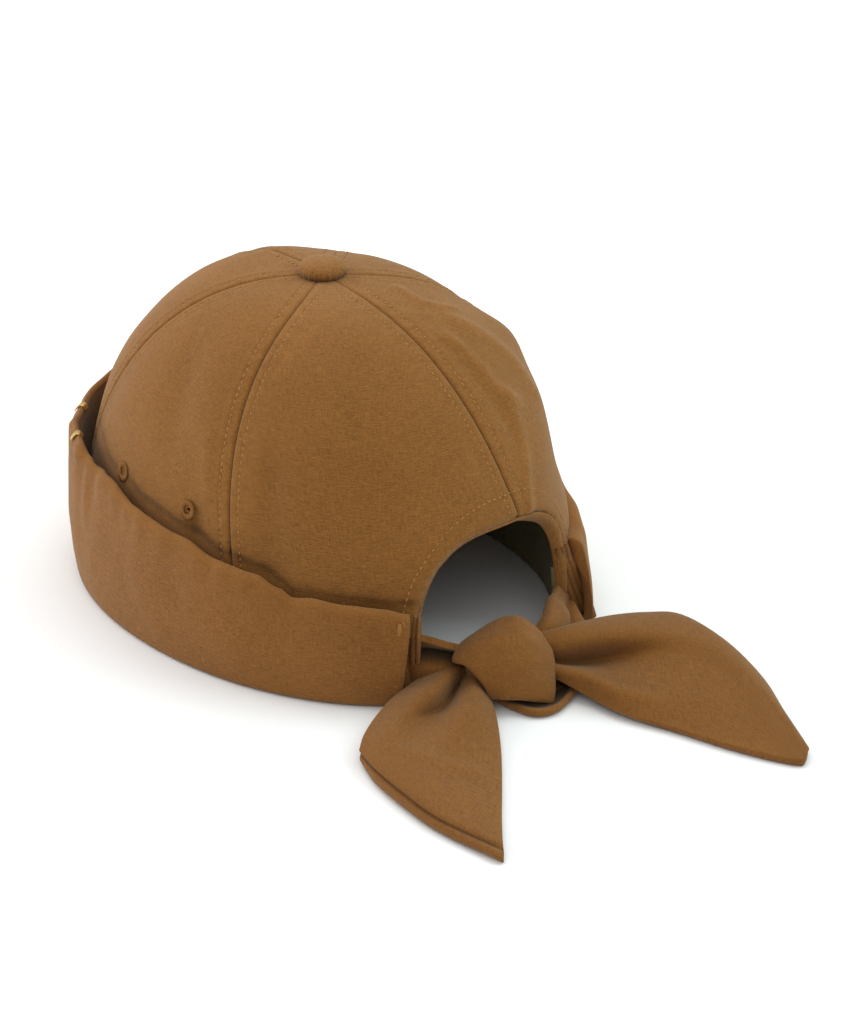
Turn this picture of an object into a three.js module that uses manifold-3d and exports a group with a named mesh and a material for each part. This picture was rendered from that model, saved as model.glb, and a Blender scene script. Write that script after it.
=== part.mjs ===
// Brimless sailor cap: a crown of six panels under a covered button, a turned-up cuff open at the back,
// an inner sweatband, and a cloth tie that closes the arched opening with a knot and two pointed tails.
// Millimetres, +Z up. The front is -Y, the arch and the tie are at +Y, the wearer's left is +X.
// A turn is an angle in degrees about the vertical, from the back towards the wearer's left.
import * as THREE from 'three';
import { mergeVertices } from 'three/addons/utils/BufferGeometryUtils.js';
import Module from 'manifold-3d';

// Crown
const crownLength = 208;
const crownWidth = 158;
const crownHeight = 127;
const crownWall = 1.3;
const crownSquareness = 2.1;
const sideFullness = 2.95;
const frontFullness = 2.35;
const topFullness = 2.5;
const frontTurn = 190;
const panelPuff = 1.3;
const foldTopFade = 0.03;
const crownLean = { x: -2.5, y: -2.5 };
const crownEye = 3.2;

// Cuff
const cuffFrontHeight = 62;
const cuffBackHeight = 40;
const cuffWall = 2.6;
const cuffStandoff = 2.9;
const cuffBulge = 1.8;
const cuffSetback = 5;
const cuffLeanShape = 1.6;
const rimThickness = 3;
const rimReach = 5.2;
const rimEdge = 0.8;

// Back arch
const archWidth = 78;
const archHeight = 60.5;
const archSquareness = 3;
const archShift = 1.5;

// Sweatband
const sweatbandHeight = 37;
const sweatbandWall = 1.4;
const sweatbandStandoff = 1.6;
const sweatbandLift = 0.6;

// Covered button
const buttonDiameter = 18;
const buttonRim = 2.2;
const buttonDome = 3.2;
const seatShare = 0.85;
const domeShare = 0.96;

// Eyelets
const eyeletDiameter = 8.6;
const eyeletThread = 2.6;
const eyeletRelief = 1.1;
const eyeletHole = 2.2;
const eyeletHeight = 59;

// Clips on the cuff's edge
const clipWidth = 4;
const clipDrop = 6;
const clipSheet = 0.6;
const clipRoom = 0.6;

// Tie
const tieWall = 2.4;
const tieShortEdge = 58;
const tieLongEdge = 105;
const tieMouth = 22;
const tieRidges = 2;
const strapInset = 7;
const knotWidth = 42;
const knotDepth = 27;
const knotHeight = 28;
const knotSoftness = 0.85;
const knotShift = 12;
const knotStandoff = 4;
const strapBreadth = 13;
const strapThickness = 4;
const strapHeight = 21;
const flapWidth = 22;
const flapLength = 26;
const flapThickness = 5;

// Clearance between pieces that touch
const clearance = 0.3;

// Fineness of the faces
const panelColumns = 10;
const panelRows = 15;
const cuffStations = 64;
const bandStations = 36;
const roundSides = 16;
const threadSides = 6;
const archSides = 24;
const tailColumns = 12;
const tailRows = 10;
const knotSides = 20;
const strapSides = 5;
const strapSteps = 8;

// Seams of the crown, each with its turn at the hem, at half the rise and under the button
const seams = [
  { hem: -13, waist: 3.4, top: 8 },
  { hem: 63, waist: 70, top: 56 },
  { hem: 150, waist: 136, top: 130 },
  { hem: 180, waist: 182, top: 195 },
  { hem: 225, waist: 226, top: 238 },
  { hem: 300, waist: 291, top: 300 },
];

const panelNames = [
  'panel_back_left',
  'panel_side_left',
  'panel_front_left',
  'panel_front_right',
  'panel_side_right',
  'panel_back_right',
];

// Soft folds of the crown: turn and height of the middle, reach along each in degrees and in shares of
// the crown's height, and depth in shares of the panels' puff
const crownFolds = [
  { turn: -47, height: 0.79, across: 11, along: 0.065, depth: 2.3 },
  { turn: -40, height: 0.5, across: 18, along: 0.12, depth: -2.4 },
  { turn: 185, height: 0.95, across: 30, along: 0.07, depth: 1.6 },
  { turn: -10, height: 0.66, across: 3.5, along: 0.2, depth: 0.9 },
  { turn: -38, height: 0.9, across: 10, along: 0.06, depth: -0.6 },
  { turn: 40, height: 0.62, across: 9, along: 0.12, depth: -0.5 },
  { turn: 100, height: 0.7, across: 12, along: 0.1, depth: -0.5 },
  { turn: 160, height: 0.75, across: 9, along: 0.12, depth: -0.5 },
  { turn: 255, height: 0.68, across: 12, along: 0.12, depth: -0.6 },
];

// How far the cuff's top leans in to the crown, in millimetres
const cuffLeans = [
  { turn: 0, lean: 0 },
  { turn: 95, lean: 0.6 },
  { turn: 112, lean: 2 },
  { turn: 124, lean: 2 },
  { turn: 131, lean: 0.3 },
  { turn: 142, lean: 0.2 },
  { turn: 150, lean: 1.9 },
  { turn: 170, lean: 1.6 },
  { turn: 190, lean: 1 },
  { turn: 230, lean: 0.6 },
  { turn: 290, lean: 0.6 },
  { turn: 312, lean: 1.2 },
  { turn: 360, lean: 1.2 },
];

// Height of the cuff round the head: shares of the rise from the back height to the front height
const cuffRises = [
  { turn: 27, rise: -0.05 },
  { turn: 38, rise: 0.04 },
  { turn: 45, rise: 0.09 },
  { turn: 50, rise: 0.04 },
  { turn: 53, rise: 0.17 },
  { turn: 59, rise: 0.32 },
  { turn: 70, rise: 0.4 },
  { turn: 81, rise: 0.56 },
  { turn: 101, rise: 0.67 },
  { turn: 115, rise: 0.83 },
  { turn: 122, rise: 0.81 },
  { turn: 127, rise: 0.87 },
  { turn: 131, rise: 1 },
  { turn: 142, rise: 0.98 },
  { turn: 152, rise: 0.94 },
  { turn: 180, rise: 1 },
  { turn: 210, rise: 1 },
  { turn: 250, rise: 0.7 },
  { turn: 276, rise: 0.35 },
  { turn: 300, rise: 0.05 },
  { turn: 318, rise: -0.06 },
  { turn: 333, rise: -0.14 },
];

const radians = THREE.MathUtils.degToRad;
const { lerp, smoothstep } = THREE.MathUtils;

// Places worked out from the sizes
const hemHeight = rimThickness + clearance;
const crownRise = crownHeight - hemHeight;
const cuffInner = clearance + cuffStandoff;
const cuffOuter = cuffInner + cuffWall;
const knotPlace = { x: knotShift, y: crownLength / 2 + knotStandoff };

// Surface of the crown
function direction(turn) {
  return { x: Math.sin(radians(turn)), y: Math.cos(radians(turn)) };
}

function headline(turn) {
  const { x, y } = direction(turn);
  const front = Math.abs((2 * y) / crownLength) ** crownSquareness;
  const side = Math.abs((2 * x) / crownWidth) ** crownSquareness;
  return (front + side) ** (-1 / crownSquareness);
}

// The crown is full at the back and sides and slopes in more towards the front
function fullnessAt(turn) {
  const forward = 0.5 + 0.5 * Math.cos(radians(turn - frontTurn));
  return lerp(sideFullness, frontFullness, forward);
}

// Horizontal distance of the crown's face from its middle line
function crownReach(turn, rise) {
  return headline(turn) * Math.cos((rise * Math.PI) / 2) ** (2 / fullnessAt(turn));
}

// Rise at which the panels end, round the eye under the button
function eyeRise(turn) {
  return (Math.acos((crownEye / headline(turn)) ** (fullnessAt(turn) / 2)) * 2) / Math.PI;
}

function crownBase(turn, rise) {
  const height = Math.sin((rise * Math.PI) / 2) ** (2 / topFullness);
  const { x, y } = direction(turn);
  const radius = crownReach(turn, rise);
  const lean = height * height;
  return new THREE.Vector3(
    x * radius + crownLean.x * lean,
    y * radius + crownLean.y * lean,
    hemHeight + crownRise * height,
  );
}

function crownNormal(turn, rise) {
  const step = 0.01;
  const low = Math.max(rise - step, 0);
  const high = Math.min(rise + step, 1 - step);
  const along = crownBase(turn, high).sub(crownBase(turn, low));
  const around = crownBase(turn - step, rise).sub(crownBase(turn + step, rise));
  return around.cross(along).normalize();
}

function wrapped(turn) {
  return ((((turn + 180) % 360) + 360) % 360) - 180;
}

function foldDepth(turn, height) {
  let depth = 0;
  for (const fold of crownFolds) {
    const aside = wrapped(turn - fold.turn) / fold.across;
    const up = (height - fold.height) / fold.along;
    depth += fold.depth * Math.exp(-(aside * aside) - up * up);
  }
  return depth * Math.min(1, (1 - height) / foldTopFade);
}

function seamTurn(seam, rise) {
  const early = 2 * (rise - 0.5) * (rise - 1);
  const middle = 4 * rise * (1 - rise);
  const late = 2 * rise * (rise - 0.5);
  return early * seam.hem + middle * seam.waist + late * seam.top;
}

// A point of a panel: across runs from 0 to 1 between its two seams, and depth goes in from its face
function panelPoint(panel, across, rise, depth) {
  const turn = lerp(seamTurn(panel.from, rise), seamTurn(panel.to, rise), across);
  const base = crownBase(turn, rise);
  const height = (base.z - hemHeight) / crownRise;
  const fullness = 1 - Math.abs(2 * across - 1) ** 3;
  const swell = panelPuff * (fullness * Math.sin(rise * Math.PI) + foldDepth(turn, height));
  return base.addScaledVector(crownNormal(turn, rise), swell - depth);
}

// Rise along the meridian at which the crown reaches a height
function riseAt(height) {
  const share = THREE.MathUtils.clamp((height - hemHeight) / crownRise, 0, 1);
  return (Math.asin(share ** (topFullness / 2)) * 2) / Math.PI;
}

// Turn of the arch's edge at a height, on the left (1) or on the right (-1)
function archEdgeTurn(side, height) {
  const narrowing = (1 - (height / archHeight) ** archSquareness) ** (1 / archSquareness);
  const x = archShift + (side * archWidth * narrowing) / 2;
  return (Math.asin(x / headline(0)) * 180) / Math.PI;
}

// Angle that a length along the head line covers near the back
function turnOver(length) {
  return (length / headline(0)) * (180 / Math.PI);
}

const cuffFrom = archEdgeTurn(1, 0) + turnOver(cuffSetback);
const cuffTo = 360 + archEdgeTurn(-1, 0) - turnOver(cuffSetback);

// Solids from rings of points: each ring has the same even count, and its ends close point to point
function solidFromRings(rings) {
  const size = rings[0].length;
  const last = (rings.length - 1) * size;
  const points = rings.flat();
  const faces = [];
  const quad = (a, b, c, d) => faces.push(a, b, c, a, c, d);
  for (let here = 0; here < last; here += size) {
    for (let j = 0; j < size; j += 1) {
      const k = (j + 1) % size;
      quad(here + j, here + k, here + size + k, here + size + j);
    }
  }
  for (let j = 0; j < size / 2 - 1; j += 1) {
    const k = size - 1 - j;
    quad(j, k, k - 1, j + 1);
    quad(last + j, last + j + 1, last + k - 1, last + k);
  }
  const geometry = new THREE.BufferGeometry();
  geometry.setAttribute('position', new THREE.Float32BufferAttribute(points.flatMap((p) => p.toArray()), 3));
  geometry.setIndex(faces);
  return facingOut(mergeVertices(geometry));
}

function signedVolume(geometry) {
  const place = geometry.getAttribute('position');
  const index = geometry.getIndex().array;
  const [a, b, c] = [new THREE.Vector3(), new THREE.Vector3(), new THREE.Vector3()];
  let volume = 0;
  for (let i = 0; i < index.length; i += 3) {
    a.fromBufferAttribute(place, index[i]);
    b.fromBufferAttribute(place, index[i + 1]);
    c.fromBufferAttribute(place, index[i + 2]);
    volume += a.dot(b.cross(c)) / 6;
  }
  return volume;
}

function facingOut(geometry) {
  if (signedVolume(geometry) < 0) geometry.getIndex().array.reverse();
  return geometry;
}

// Joining and cutting
const wasm = await Module();
wasm.setup();

function manifold(geometry) {
  const bare = geometry.clone();
  bare.deleteAttribute('normal');
  bare.deleteAttribute('uv');
  const merged = mergeVertices(bare);
  const vertProperties = Float32Array.from(merged.getAttribute('position').array);
  const triVerts = Uint32Array.from(merged.getIndex().array);
  return new wasm.Manifold(new wasm.Mesh({ numProp: 3, vertProperties, triVerts }));
}

function cut(geometry, ...tools) {
  let solid = manifold(geometry);
  for (const tool of tools) solid = solid.subtract(manifold(tool));
  const mesh = solid.getMesh();
  const result = new THREE.BufferGeometry();
  result.setAttribute('position', new THREE.BufferAttribute(mesh.vertProperties, 3));
  result.setIndex(new THREE.BufferAttribute(mesh.triVerts, 1));
  return result;
}

// Materials
const cloth = (color) => new THREE.MeshStandardMaterial({ color, roughness: 0.92, metalness: 0 });
const brown = 0x8e6338;
const darkerBrown = 0x86592f;
const olive = 0x5a5538;
const brass = () => new THREE.MeshStandardMaterial({ color: 0xc59a45, roughness: 0.35, metalness: 0.9 });

const cap = new THREE.Group();

function addPiece(name, geometry, material) {
  geometry.computeVertexNormals();
  const mesh = new THREE.Mesh(geometry, material);
  mesh.name = name;
  cap.add(mesh);
}

// Cutter for the back arch: a prism through the back of the crown
function archCutter() {
  const outline = new THREE.Shape();
  const half = archWidth / 2;
  outline.moveTo(half, -archHeight);
  for (let i = 0; i <= archSides; i += 1) {
    const angle = (i / archSides) * Math.PI;
    const x = Math.sign(Math.cos(angle)) * Math.abs(Math.cos(angle)) ** (2 / archSquareness);
    const y = Math.sin(angle) ** (2 / archSquareness);
    outline.lineTo(half * x, archHeight * y);
  }
  outline.lineTo(-half, -archHeight);
  const prism = new THREE.ExtrudeGeometry(outline, { depth: crownLength, bevelEnabled: false });
  prism.rotateX(Math.PI / 2);
  prism.translate(archShift, crownLength, 0);
  return prism;
}

// Crown panels
function panelGeometry(panel) {
  const rings = [];
  for (let row = 0; row <= panelRows; row += 1) {
    const face = [];
    const back = [];
    for (let column = 0; column <= panelColumns; column += 1) {
      const turn = lerp(panel.from.top, panel.to.top, column / panelColumns);
      const rise = (row / panelRows) * eyeRise(turn);
      const opening = radians(seamTurn(panel.to, rise) - seamTurn(panel.from, rise));
      const inset = clearance / 2 / (crownReach(turn, rise) * opening);
      const across = lerp(inset, 1 - inset, column / panelColumns);
      face.push(panelPoint(panel, across, rise, 0));
      back.unshift(panelPoint(panel, across, rise, crownWall));
    }
    rings.push([...face, ...back]);
  }
  return solidFromRings(rings);
}

// Turns of the two eyelets on each side, on the left and mirrored on the right
const eyeletTurns = [84, 115];

function eyeletPlaces(side) {
  return eyeletTurns.map((turn) => ({ turn: side * turn, rise: riseAt(eyeletHeight) }));
}

function panelWith(turn, rise) {
  for (let i = 0; i < seams.length; i += 1) {
    const from = seamTurn(seams[i], rise);
    const to = seamTurn(seams[(i + 1) % seams.length], rise) + (i === seams.length - 1 ? 360 : 0);
    for (const about of [turn, turn + 360]) {
      if (about > from && about < to) return { panel: panels[i], across: (about - from) / (to - from) };
    }
  }
  throw new Error(`no panel at turn ${turn}`);
}

// Places a piece made about +Z on the crown's face, with its foot a clearance proud of it
function seated(geometry, turn, rise, lift) {
  const { panel, across } = panelWith(turn, rise);
  const foot = panelPoint(panel, across, rise, 0);
  const normal = crownNormal(turn, rise);
  geometry.applyQuaternion(new THREE.Quaternion().setFromUnitVectors(new THREE.Vector3(0, 0, 1), normal));
  foot.addScaledVector(normal, lift);
  return geometry.translate(foot.x, foot.y, foot.z);
}

const panels = seams.map((seam, i) => {
  const next = seams[(i + 1) % seams.length];
  const turn = i === seams.length - 1 ? 360 : 0;
  const to = { hem: next.hem + turn, waist: next.waist + turn, top: next.top + turn };
  return { name: panelNames[i], from: seam, to };
});

function eyeletHoleCutter(place) {
  const drill = new THREE.CylinderGeometry(eyeletHole / 2, eyeletHole / 2, crownWall * 6, roundSides / 2);
  drill.rotateX(Math.PI / 2);
  return seated(drill, place.turn, place.rise, 0);
}

for (const panel of panels) {
  let geometry = panelGeometry(panel);
  if (panel.name.includes('back')) geometry = cut(geometry, archCutter());
  if (panel.name === 'panel_side_left') geometry = cut(geometry, ...eyeletPlaces(1).map(eyeletHoleCutter));
  if (panel.name === 'panel_side_right') geometry = cut(geometry, ...eyeletPlaces(-1).map(eyeletHoleCutter));
  addPiece(panel.name, geometry, cloth(brown));
}

// Covered button
function buttonGeometry() {
  const radius = buttonDiameter / 2;
  const stem = crownEye - 2 * clearance;
  const profile = [new THREE.Vector2(0, -2 * crownWall)];
  profile.push(new THREE.Vector2(stem, -2 * crownWall));
  profile.push(new THREE.Vector2(stem, 0));
  profile.push(new THREE.Vector2(radius * seatShare, 0));
  profile.push(new THREE.Vector2(radius, buttonRim / 2));
  const turns = roundSides / 2;
  for (let i = 0; i <= turns; i += 1) {
    const angle = (i / turns) * (Math.PI / 2);
    const out = radius * domeShare * Math.cos(angle);
    profile.push(new THREE.Vector2(out, buttonRim + buttonDome * Math.sin(angle)));
  }
  profile[profile.length - 1].x = 0;
  const button = new THREE.LatheGeometry(profile, roundSides * 1.5);
  button.rotateX(Math.PI / 2);
  button.translate(crownLean.x, crownLean.y, crownHeight + clearance);
  return facingOut(mergeVertices(stripped(button)));
}

function stripped(geometry) {
  geometry.deleteAttribute('normal');
  geometry.deleteAttribute('uv');
  return geometry;
}

addPiece('crown_button', buttonGeometry(), cloth(0x9a7047));

// Cuff
function cuffHeight(turn) {
  const about = turn < 0 ? turn + 360 : turn;
  const last = cuffRises[cuffRises.length - 1];
  if (about <= cuffRises[0].turn) return lerp(cuffBackHeight, cuffFrontHeight, cuffRises[0].rise);
  if (about >= last.turn) return lerp(cuffBackHeight, cuffFrontHeight, last.rise);
  const i = cuffRises.findIndex((row) => row.turn >= about);
  const [a, b] = [cuffRises[i - 1], cuffRises[i]];
  const share = smoothstep(about, a.turn, b.turn);
  return lerp(cuffBackHeight, cuffFrontHeight, lerp(a.rise, b.rise, share));
}

function cuffLean(turn) {
  const i = Math.max(1, cuffLeans.findIndex((row) => row.turn >= turn));
  const [a, b] = [cuffLeans[i - 1], cuffLeans[i]];
  return lerp(a.lean, b.lean, smoothstep(turn, a.turn, b.turn));
}

function headPoint(turn, offset, z) {
  const { x, y } = direction(turn);
  const radius = headline(turn) + offset;
  return new THREE.Vector3(x * radius, y * radius, z);
}

// Section of the cuff from the rim's inner lip, out along the floor and up to the folded edge, then back
function cuffRing(turn) {
  const top = cuffHeight(turn);
  const bend = rimThickness;
  const section = [
    [-rimReach, rimThickness * 0.5],
    [-rimReach + rimEdge, 0],
    [cuffOuter - bend * 0.7, 0],
    [cuffOuter - bend * 0.1, bend * 0.45],
    [cuffOuter + cuffBulge * 0.5, top * 0.15],
    [cuffOuter + cuffBulge, top * 0.4],
    [cuffOuter + cuffBulge * 0.7, top * 0.75],
    [cuffOuter - cuffWall * 0.15, top - cuffWall * 0.3],
    [cuffOuter - cuffWall * 0.5, top],
    [cuffInner + cuffWall * 0.1, top - cuffWall * 0.3],
    [cuffInner + cuffBulge * 0.6, top * 0.75],
    [cuffInner + cuffBulge, top * 0.4],
    [cuffInner + cuffBulge * 0.4, top * 0.15],
    [cuffInner - bend * 0.1, bend + clearance],
    [cuffInner - bend * 0.7, bend],
    [-rimReach + rimEdge, bend],
  ];
  const lean = (z) => cuffLean(turn) * (z / top) ** cuffLeanShape;
  return section.map(([offset, z]) => headPoint(turn, offset - lean(z), z));
}

const cuffRings = [];
for (let i = 0; i <= cuffStations; i += 1) {
  cuffRings.push(cuffRing(lerp(cuffFrom, cuffTo, i / cuffStations)));
}
addPiece('cuff', solidFromRings(cuffRings), cloth(darkerBrown));

// Sweatband
function sweatbandRing(turn) {
  const foot = headline(turn) - rimReach - clearance;
  const top = sweatbandLift + sweatbandHeight;
  const above = crownBase(turn, riseAt(top));
  const head = Math.hypot(above.x, above.y) - crownWall - sweatbandStandoff;
  const { x, y } = direction(turn);
  const section = [
    [foot, sweatbandLift],
    [head, top],
    [head - sweatbandWall, top],
    [foot - sweatbandWall, sweatbandLift],
  ];
  return section.map(([radius, z]) => new THREE.Vector3(x * radius, y * radius, z));
}

const sweatbandRings = [];
for (let i = 0; i <= bandStations; i += 1) {
  const turn = lerp(cuffFrom + turnOver(strapInset), cuffTo - turnOver(strapInset), i / bandStations);
  sweatbandRings.push(sweatbandRing(turn));
}
addPiece('sweatband', solidFromRings(sweatbandRings), cloth(olive));

// Eyelets
function eyeletGeometry(place) {
  const outer = eyeletDiameter / 2;
  const inner = outer - eyeletThread;
  const profile = [];
  for (let i = 0; i <= threadSides; i += 1) {
    const angle = (i / threadSides) * Math.PI;
    const across = (outer + inner - eyeletThread * Math.cos(angle)) / 2;
    profile.push(new THREE.Vector2(across, eyeletRelief * Math.sin(angle)));
  }
  profile.push(profile[0].clone());
  const ring = new THREE.LatheGeometry(profile, roundSides);
  ring.rotateX(Math.PI / 2);
  return seated(facingOut(mergeVertices(stripped(ring))), place.turn, place.rise, clearance);
}

for (const [word, side] of [['left', 1], ['right', -1]]) {
  eyeletPlaces(side).forEach((place, i) => {
    addPiece(`eyelet_${word}_${i + 1}`, eyeletGeometry(place), cloth(0xa77b4c));
  });
}

// Brass clips folded over the cuff's edge
const clipTurns = [133, 152];

function clipGeometry(turn) {
  const top = cuffHeight(turn) + clearance;
  const outline = new THREE.Shape();
  const inside = cuffInner - clipRoom;
  const outside = cuffOuter + clipRoom + cuffBulge / 2;
  const drop = top - clipDrop;
  outline.moveTo(outside, drop);
  outline.lineTo(outside + clipSheet, drop);
  outline.lineTo(outside + clipSheet, top + clearance + clipSheet);
  outline.lineTo(inside - clipSheet, top + clearance + clipSheet);
  outline.lineTo(inside - clipSheet, drop);
  outline.lineTo(inside, drop);
  outline.lineTo(inside, top + clearance);
  outline.lineTo(outside, top + clearance);
  const clip = new THREE.ExtrudeGeometry(outline, { depth: clipWidth, bevelEnabled: false });
  clip.translate(headline(turn) - cuffLean(turn), 0, -clipWidth / 2);
  clip.rotateX(Math.PI / 2);
  clip.rotateZ(radians(90 - turn));
  return facingOut(mergeVertices(stripped(clip)));
}

clipTurns.forEach((turn, i) => addPiece(`clip_${i + 1}`, clipGeometry(turn), brass()));

// Tie knot, also made larger to cut the pieces that go into it
function knotGeometry(allowance) {
  const knot = new THREE.SphereGeometry(1, knotSides, knotSides * 0.6);
  const place = knot.getAttribute('position');
  const soft = (value, size) => Math.sign(value) * Math.abs(value) ** knotSoftness * (size / 2 + allowance);
  for (let i = 0; i < place.count; i += 1) {
    const x = knotPlace.x + soft(place.getX(i), knotWidth);
    const y = knotPlace.y + soft(place.getY(i), knotDepth);
    const z = knotHeight / 2 + soft(place.getZ(i), knotHeight - allowance);
    place.setXYZ(i, x, y, z);
  }
  return facingOut(mergeVertices(stripped(knot)));
}

addPiece('tie_knot', knotGeometry(0), cloth(brown));
const knotCutter = knotGeometry(clearance);

// Tie straps, sewn inside the edges of the arch and running into the knot
function insideCrown(turn, height, depth) {
  const face = crownBase(turn, riseAt(height));
  const { x, y } = direction(turn);
  return new THREE.Vector3(face.x - x * depth, face.y - y * depth, height);
}

function strapGeometry({ side, height }) {
  const edge = archEdgeTurn(side, height);
  const depth = crownWall + clearance + strapThickness / 2;
  const points = [
    insideCrown(edge + side * turnOver(strapInset), height, depth),
    insideCrown(edge - (side * turnOver(strapInset)) / 2, height, depth),
    new THREE.Vector3(knotPlace.x + (side * knotWidth) / 4, knotPlace.y, knotHeight / 2),
  ];
  const outline = new THREE.Shape();
  outline.absellipse(0, 0, strapBreadth / 2, strapThickness / 2, 0, 2 * Math.PI);
  const strap = new THREE.ExtrudeGeometry(outline, {
    steps: strapSteps,
    curveSegments: strapSides,
    extrudePath: new THREE.CatmullRomCurve3(points),
    bevelEnabled: false,
  });
  return cut(facingOut(mergeVertices(stripped(strap))), knotCutter);
}

addPiece('tie_strap_left', strapGeometry({ side: 1, height: strapHeight }), cloth(brown));
addPiece('tie_strap_right', strapGeometry({ side: -1, height: strapHeight }), cloth(brown));

// Tie tails, gathered at the knot and spread on the floor to a slanted end
function tailGeometry(tail) {
  const root = {
    x: knotPlace.x + tail.aside * knotWidth,
    y: knotPlace.y + tail.behind * knotDepth,
  };
  const shortWay = direction(tail.shortTurn);
  const longWay = direction(tail.longTurn);
  const mouthWay = direction(tail.mouthTurn);
  const endWay = direction((tail.shortTurn + tail.longTurn) / 2);
  const rings = [];
  for (let row = 0; row <= tailRows; row += 1) {
    const out = row / tailRows;
    const face = [];
    const back = [];
    for (let column = 0; column <= tailColumns; column += 1) {
      const across = column / tailColumns;
      const mouth = tieMouth * (across - 0.5);
      const bow = tail.endBow * tieLongEdge * 4 * across * (1 - across);
      const swell = tail.sideBow * tieLongEdge * across ** 2 * Math.sin(out * Math.PI);
      const endX = lerp(shortWay.x * tieShortEdge, longWay.x * tieLongEdge, across) + endWay.x * bow;
      const endY = lerp(shortWay.y * tieShortEdge, longWay.y * tieLongEdge, across) + endWay.y * bow;
      const x = root.x + lerp(mouthWay.x * mouth, endX, out) - longWay.y * Math.sign(tail.shortTurn) * swell;
      const y = root.y + lerp(mouthWay.y * mouth, endY, out) + longWay.x * Math.sign(tail.shortTurn) * swell;
      const ridge = 0.5 + 0.5 * Math.cos(across * 2 * Math.PI * tieRidges);
      const gathered = tail.mouthLift * (1 - out) ** 1.6 * (0.25 + 0.75 * ridge) * (1 - 0.5 * across);
      const z = knotHeight * (gathered + tail.cornerLift * out * (1 - across) ** 2);
      face.push(new THREE.Vector3(x, y, z + tieWall));
      back.unshift(new THREE.Vector3(x, y, z));
    }
    rings.push([...face, ...back]);
  }
  return cut(solidFromRings(rings), knotCutter);
}

// Where each tail leaves the knot, in shares of its width and depth, the turns of its two side edges and
// of its mouth, the bows of its end and its long side in shares of the long edge, and the lifts of its
// mouth and its short corner in shares of the knot's height
const tails = [
  {
    name: 'tie_tail_left',
    aside: 0.36,
    behind: 0.07,
    shortTurn: 92,
    longTurn: 40,
    mouthTurn: 0,
    endBow: 0.07,
    sideBow: 0,
    mouthLift: 0.38,
    cornerLift: 0.05,
  },
  {
    name: 'tie_tail_right',
    aside: -0.38,
    behind: 0.37,
    shortTurn: -72,
    longTurn: -12,
    mouthTurn: 35,
    endBow: 0.14,
    sideBow: 0.07,
    mouthLift: 0.7,
    cornerLift: 0.5,
  },
];
for (const tail of tails) addPiece(tail.name, tailGeometry(tail), cloth(brown));

// Folded end of the tie that shows under the knot
function tieFoldGeometry() {
  const fold = new THREE.SphereGeometry(1, roundSides, roundSides / 2);
  fold.scale(flapWidth / 2, flapLength / 2, flapThickness / 2);
  fold.translate(knotPlace.x - flapWidth * 0.05, knotPlace.y + knotDepth * 0.45, flapThickness / 2);
  return cut(facingOut(mergeVertices(stripped(fold))), knotCutter);
}

addPiece('tie_fold', tieFoldGeometry(), cloth(darkerBrown));

// The origin is the middle of the whole object's box, on the floor
const box = new THREE.Box3().setFromObject(cap);
const middle = box.getCenter(new THREE.Vector3());
cap.position.set(-middle.x, -middle.y, -box.min.z);

export default cap;
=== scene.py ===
import math

import bmesh
import bpy
from mathutils import Matrix, Vector, noise


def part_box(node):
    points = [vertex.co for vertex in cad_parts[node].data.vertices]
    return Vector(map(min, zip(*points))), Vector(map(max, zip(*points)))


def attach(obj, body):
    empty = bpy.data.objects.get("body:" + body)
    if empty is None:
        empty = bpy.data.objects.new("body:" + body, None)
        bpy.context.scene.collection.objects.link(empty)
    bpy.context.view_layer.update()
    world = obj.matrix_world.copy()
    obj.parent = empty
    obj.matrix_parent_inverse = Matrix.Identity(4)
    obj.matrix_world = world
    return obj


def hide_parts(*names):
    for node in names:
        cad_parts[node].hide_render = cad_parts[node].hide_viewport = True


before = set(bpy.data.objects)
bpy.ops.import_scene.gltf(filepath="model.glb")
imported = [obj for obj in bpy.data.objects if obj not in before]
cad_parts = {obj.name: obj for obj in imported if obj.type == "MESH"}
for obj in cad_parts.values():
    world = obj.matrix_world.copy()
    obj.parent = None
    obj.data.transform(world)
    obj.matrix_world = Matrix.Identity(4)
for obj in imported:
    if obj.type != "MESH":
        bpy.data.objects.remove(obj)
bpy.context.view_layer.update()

# Lengths are in millimetres about the crown's middle until metres() places them in the frame.
# A turn is an angle in degrees from the back (+Y) towards the wearer's left (+X).

# Crown
CROWN_LENGTH = 208
CROWN_WIDTH = 158
CROWN_HEIGHT = 127
CROWN_WALL = 1.3
CROWN_SQUARENESS = 2.1
SIDE_FULLNESS = 2.95
FRONT_FULLNESS = 2.35
TOP_FULLNESS = 2.5
FRONT_TURN = 190
PANEL_PUFF = 1.3
FOLD_TOP_FADE = 0.03
CROWN_LEAN = (-2.5, -2.5)
CROWN_EYE = 3.2
HEM_HEIGHT = 3.3
CROWN_RISE = CROWN_HEIGHT - HEM_HEIGHT

# Seams
SEAM_GROOVE = 0.5
SEAM_LIP = 0.42
TOPSTITCH_OFFSET = 4.2
STITCH_PITCH = 2.6
STITCH_LENGTH = 1.9
STITCH_WIDTH = 0.7
STITCH_HEIGHT = 0.45
SEAM_ALLOWANCE_RISE = 0.25
STITCH_DIP = 0.34
SEAM_PUCKER = 0.2
CUFF_SHADE_DROP = 0.5
CUFF_SHADE_REACH = 2.1
FAR_SEAM_TURN = 231
FAR_SEAM_REACH = 16
FAR_SEAM_SOFTENING = 0.8
PANEL_CLOTH_LENGTH = 188

# Back arch
ARCH_WIDTH = 78
ARCH_HEIGHT = 60.5
ARCH_SQUARENESS = 3
ARCH_SHIFT = 1.5
ARCH_HEM_SIDE = 4.6
ARCH_HEM_TOP = 9.6
ARCH_EDGE_ROUND = 1.1
ARCH_LIP_DEPTH = 3.4
ARCH_LIP_REACH = 2.4
ARCH_HEM_RISE = 0.45
ARCH_STITCH_DIP = 0.35
ARCH_LIP_LENGTH = 200
TAPE_FROM = 0.885
TAPE_TO = 0.965
ARCH_LIP_WIDTH = 6

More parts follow.
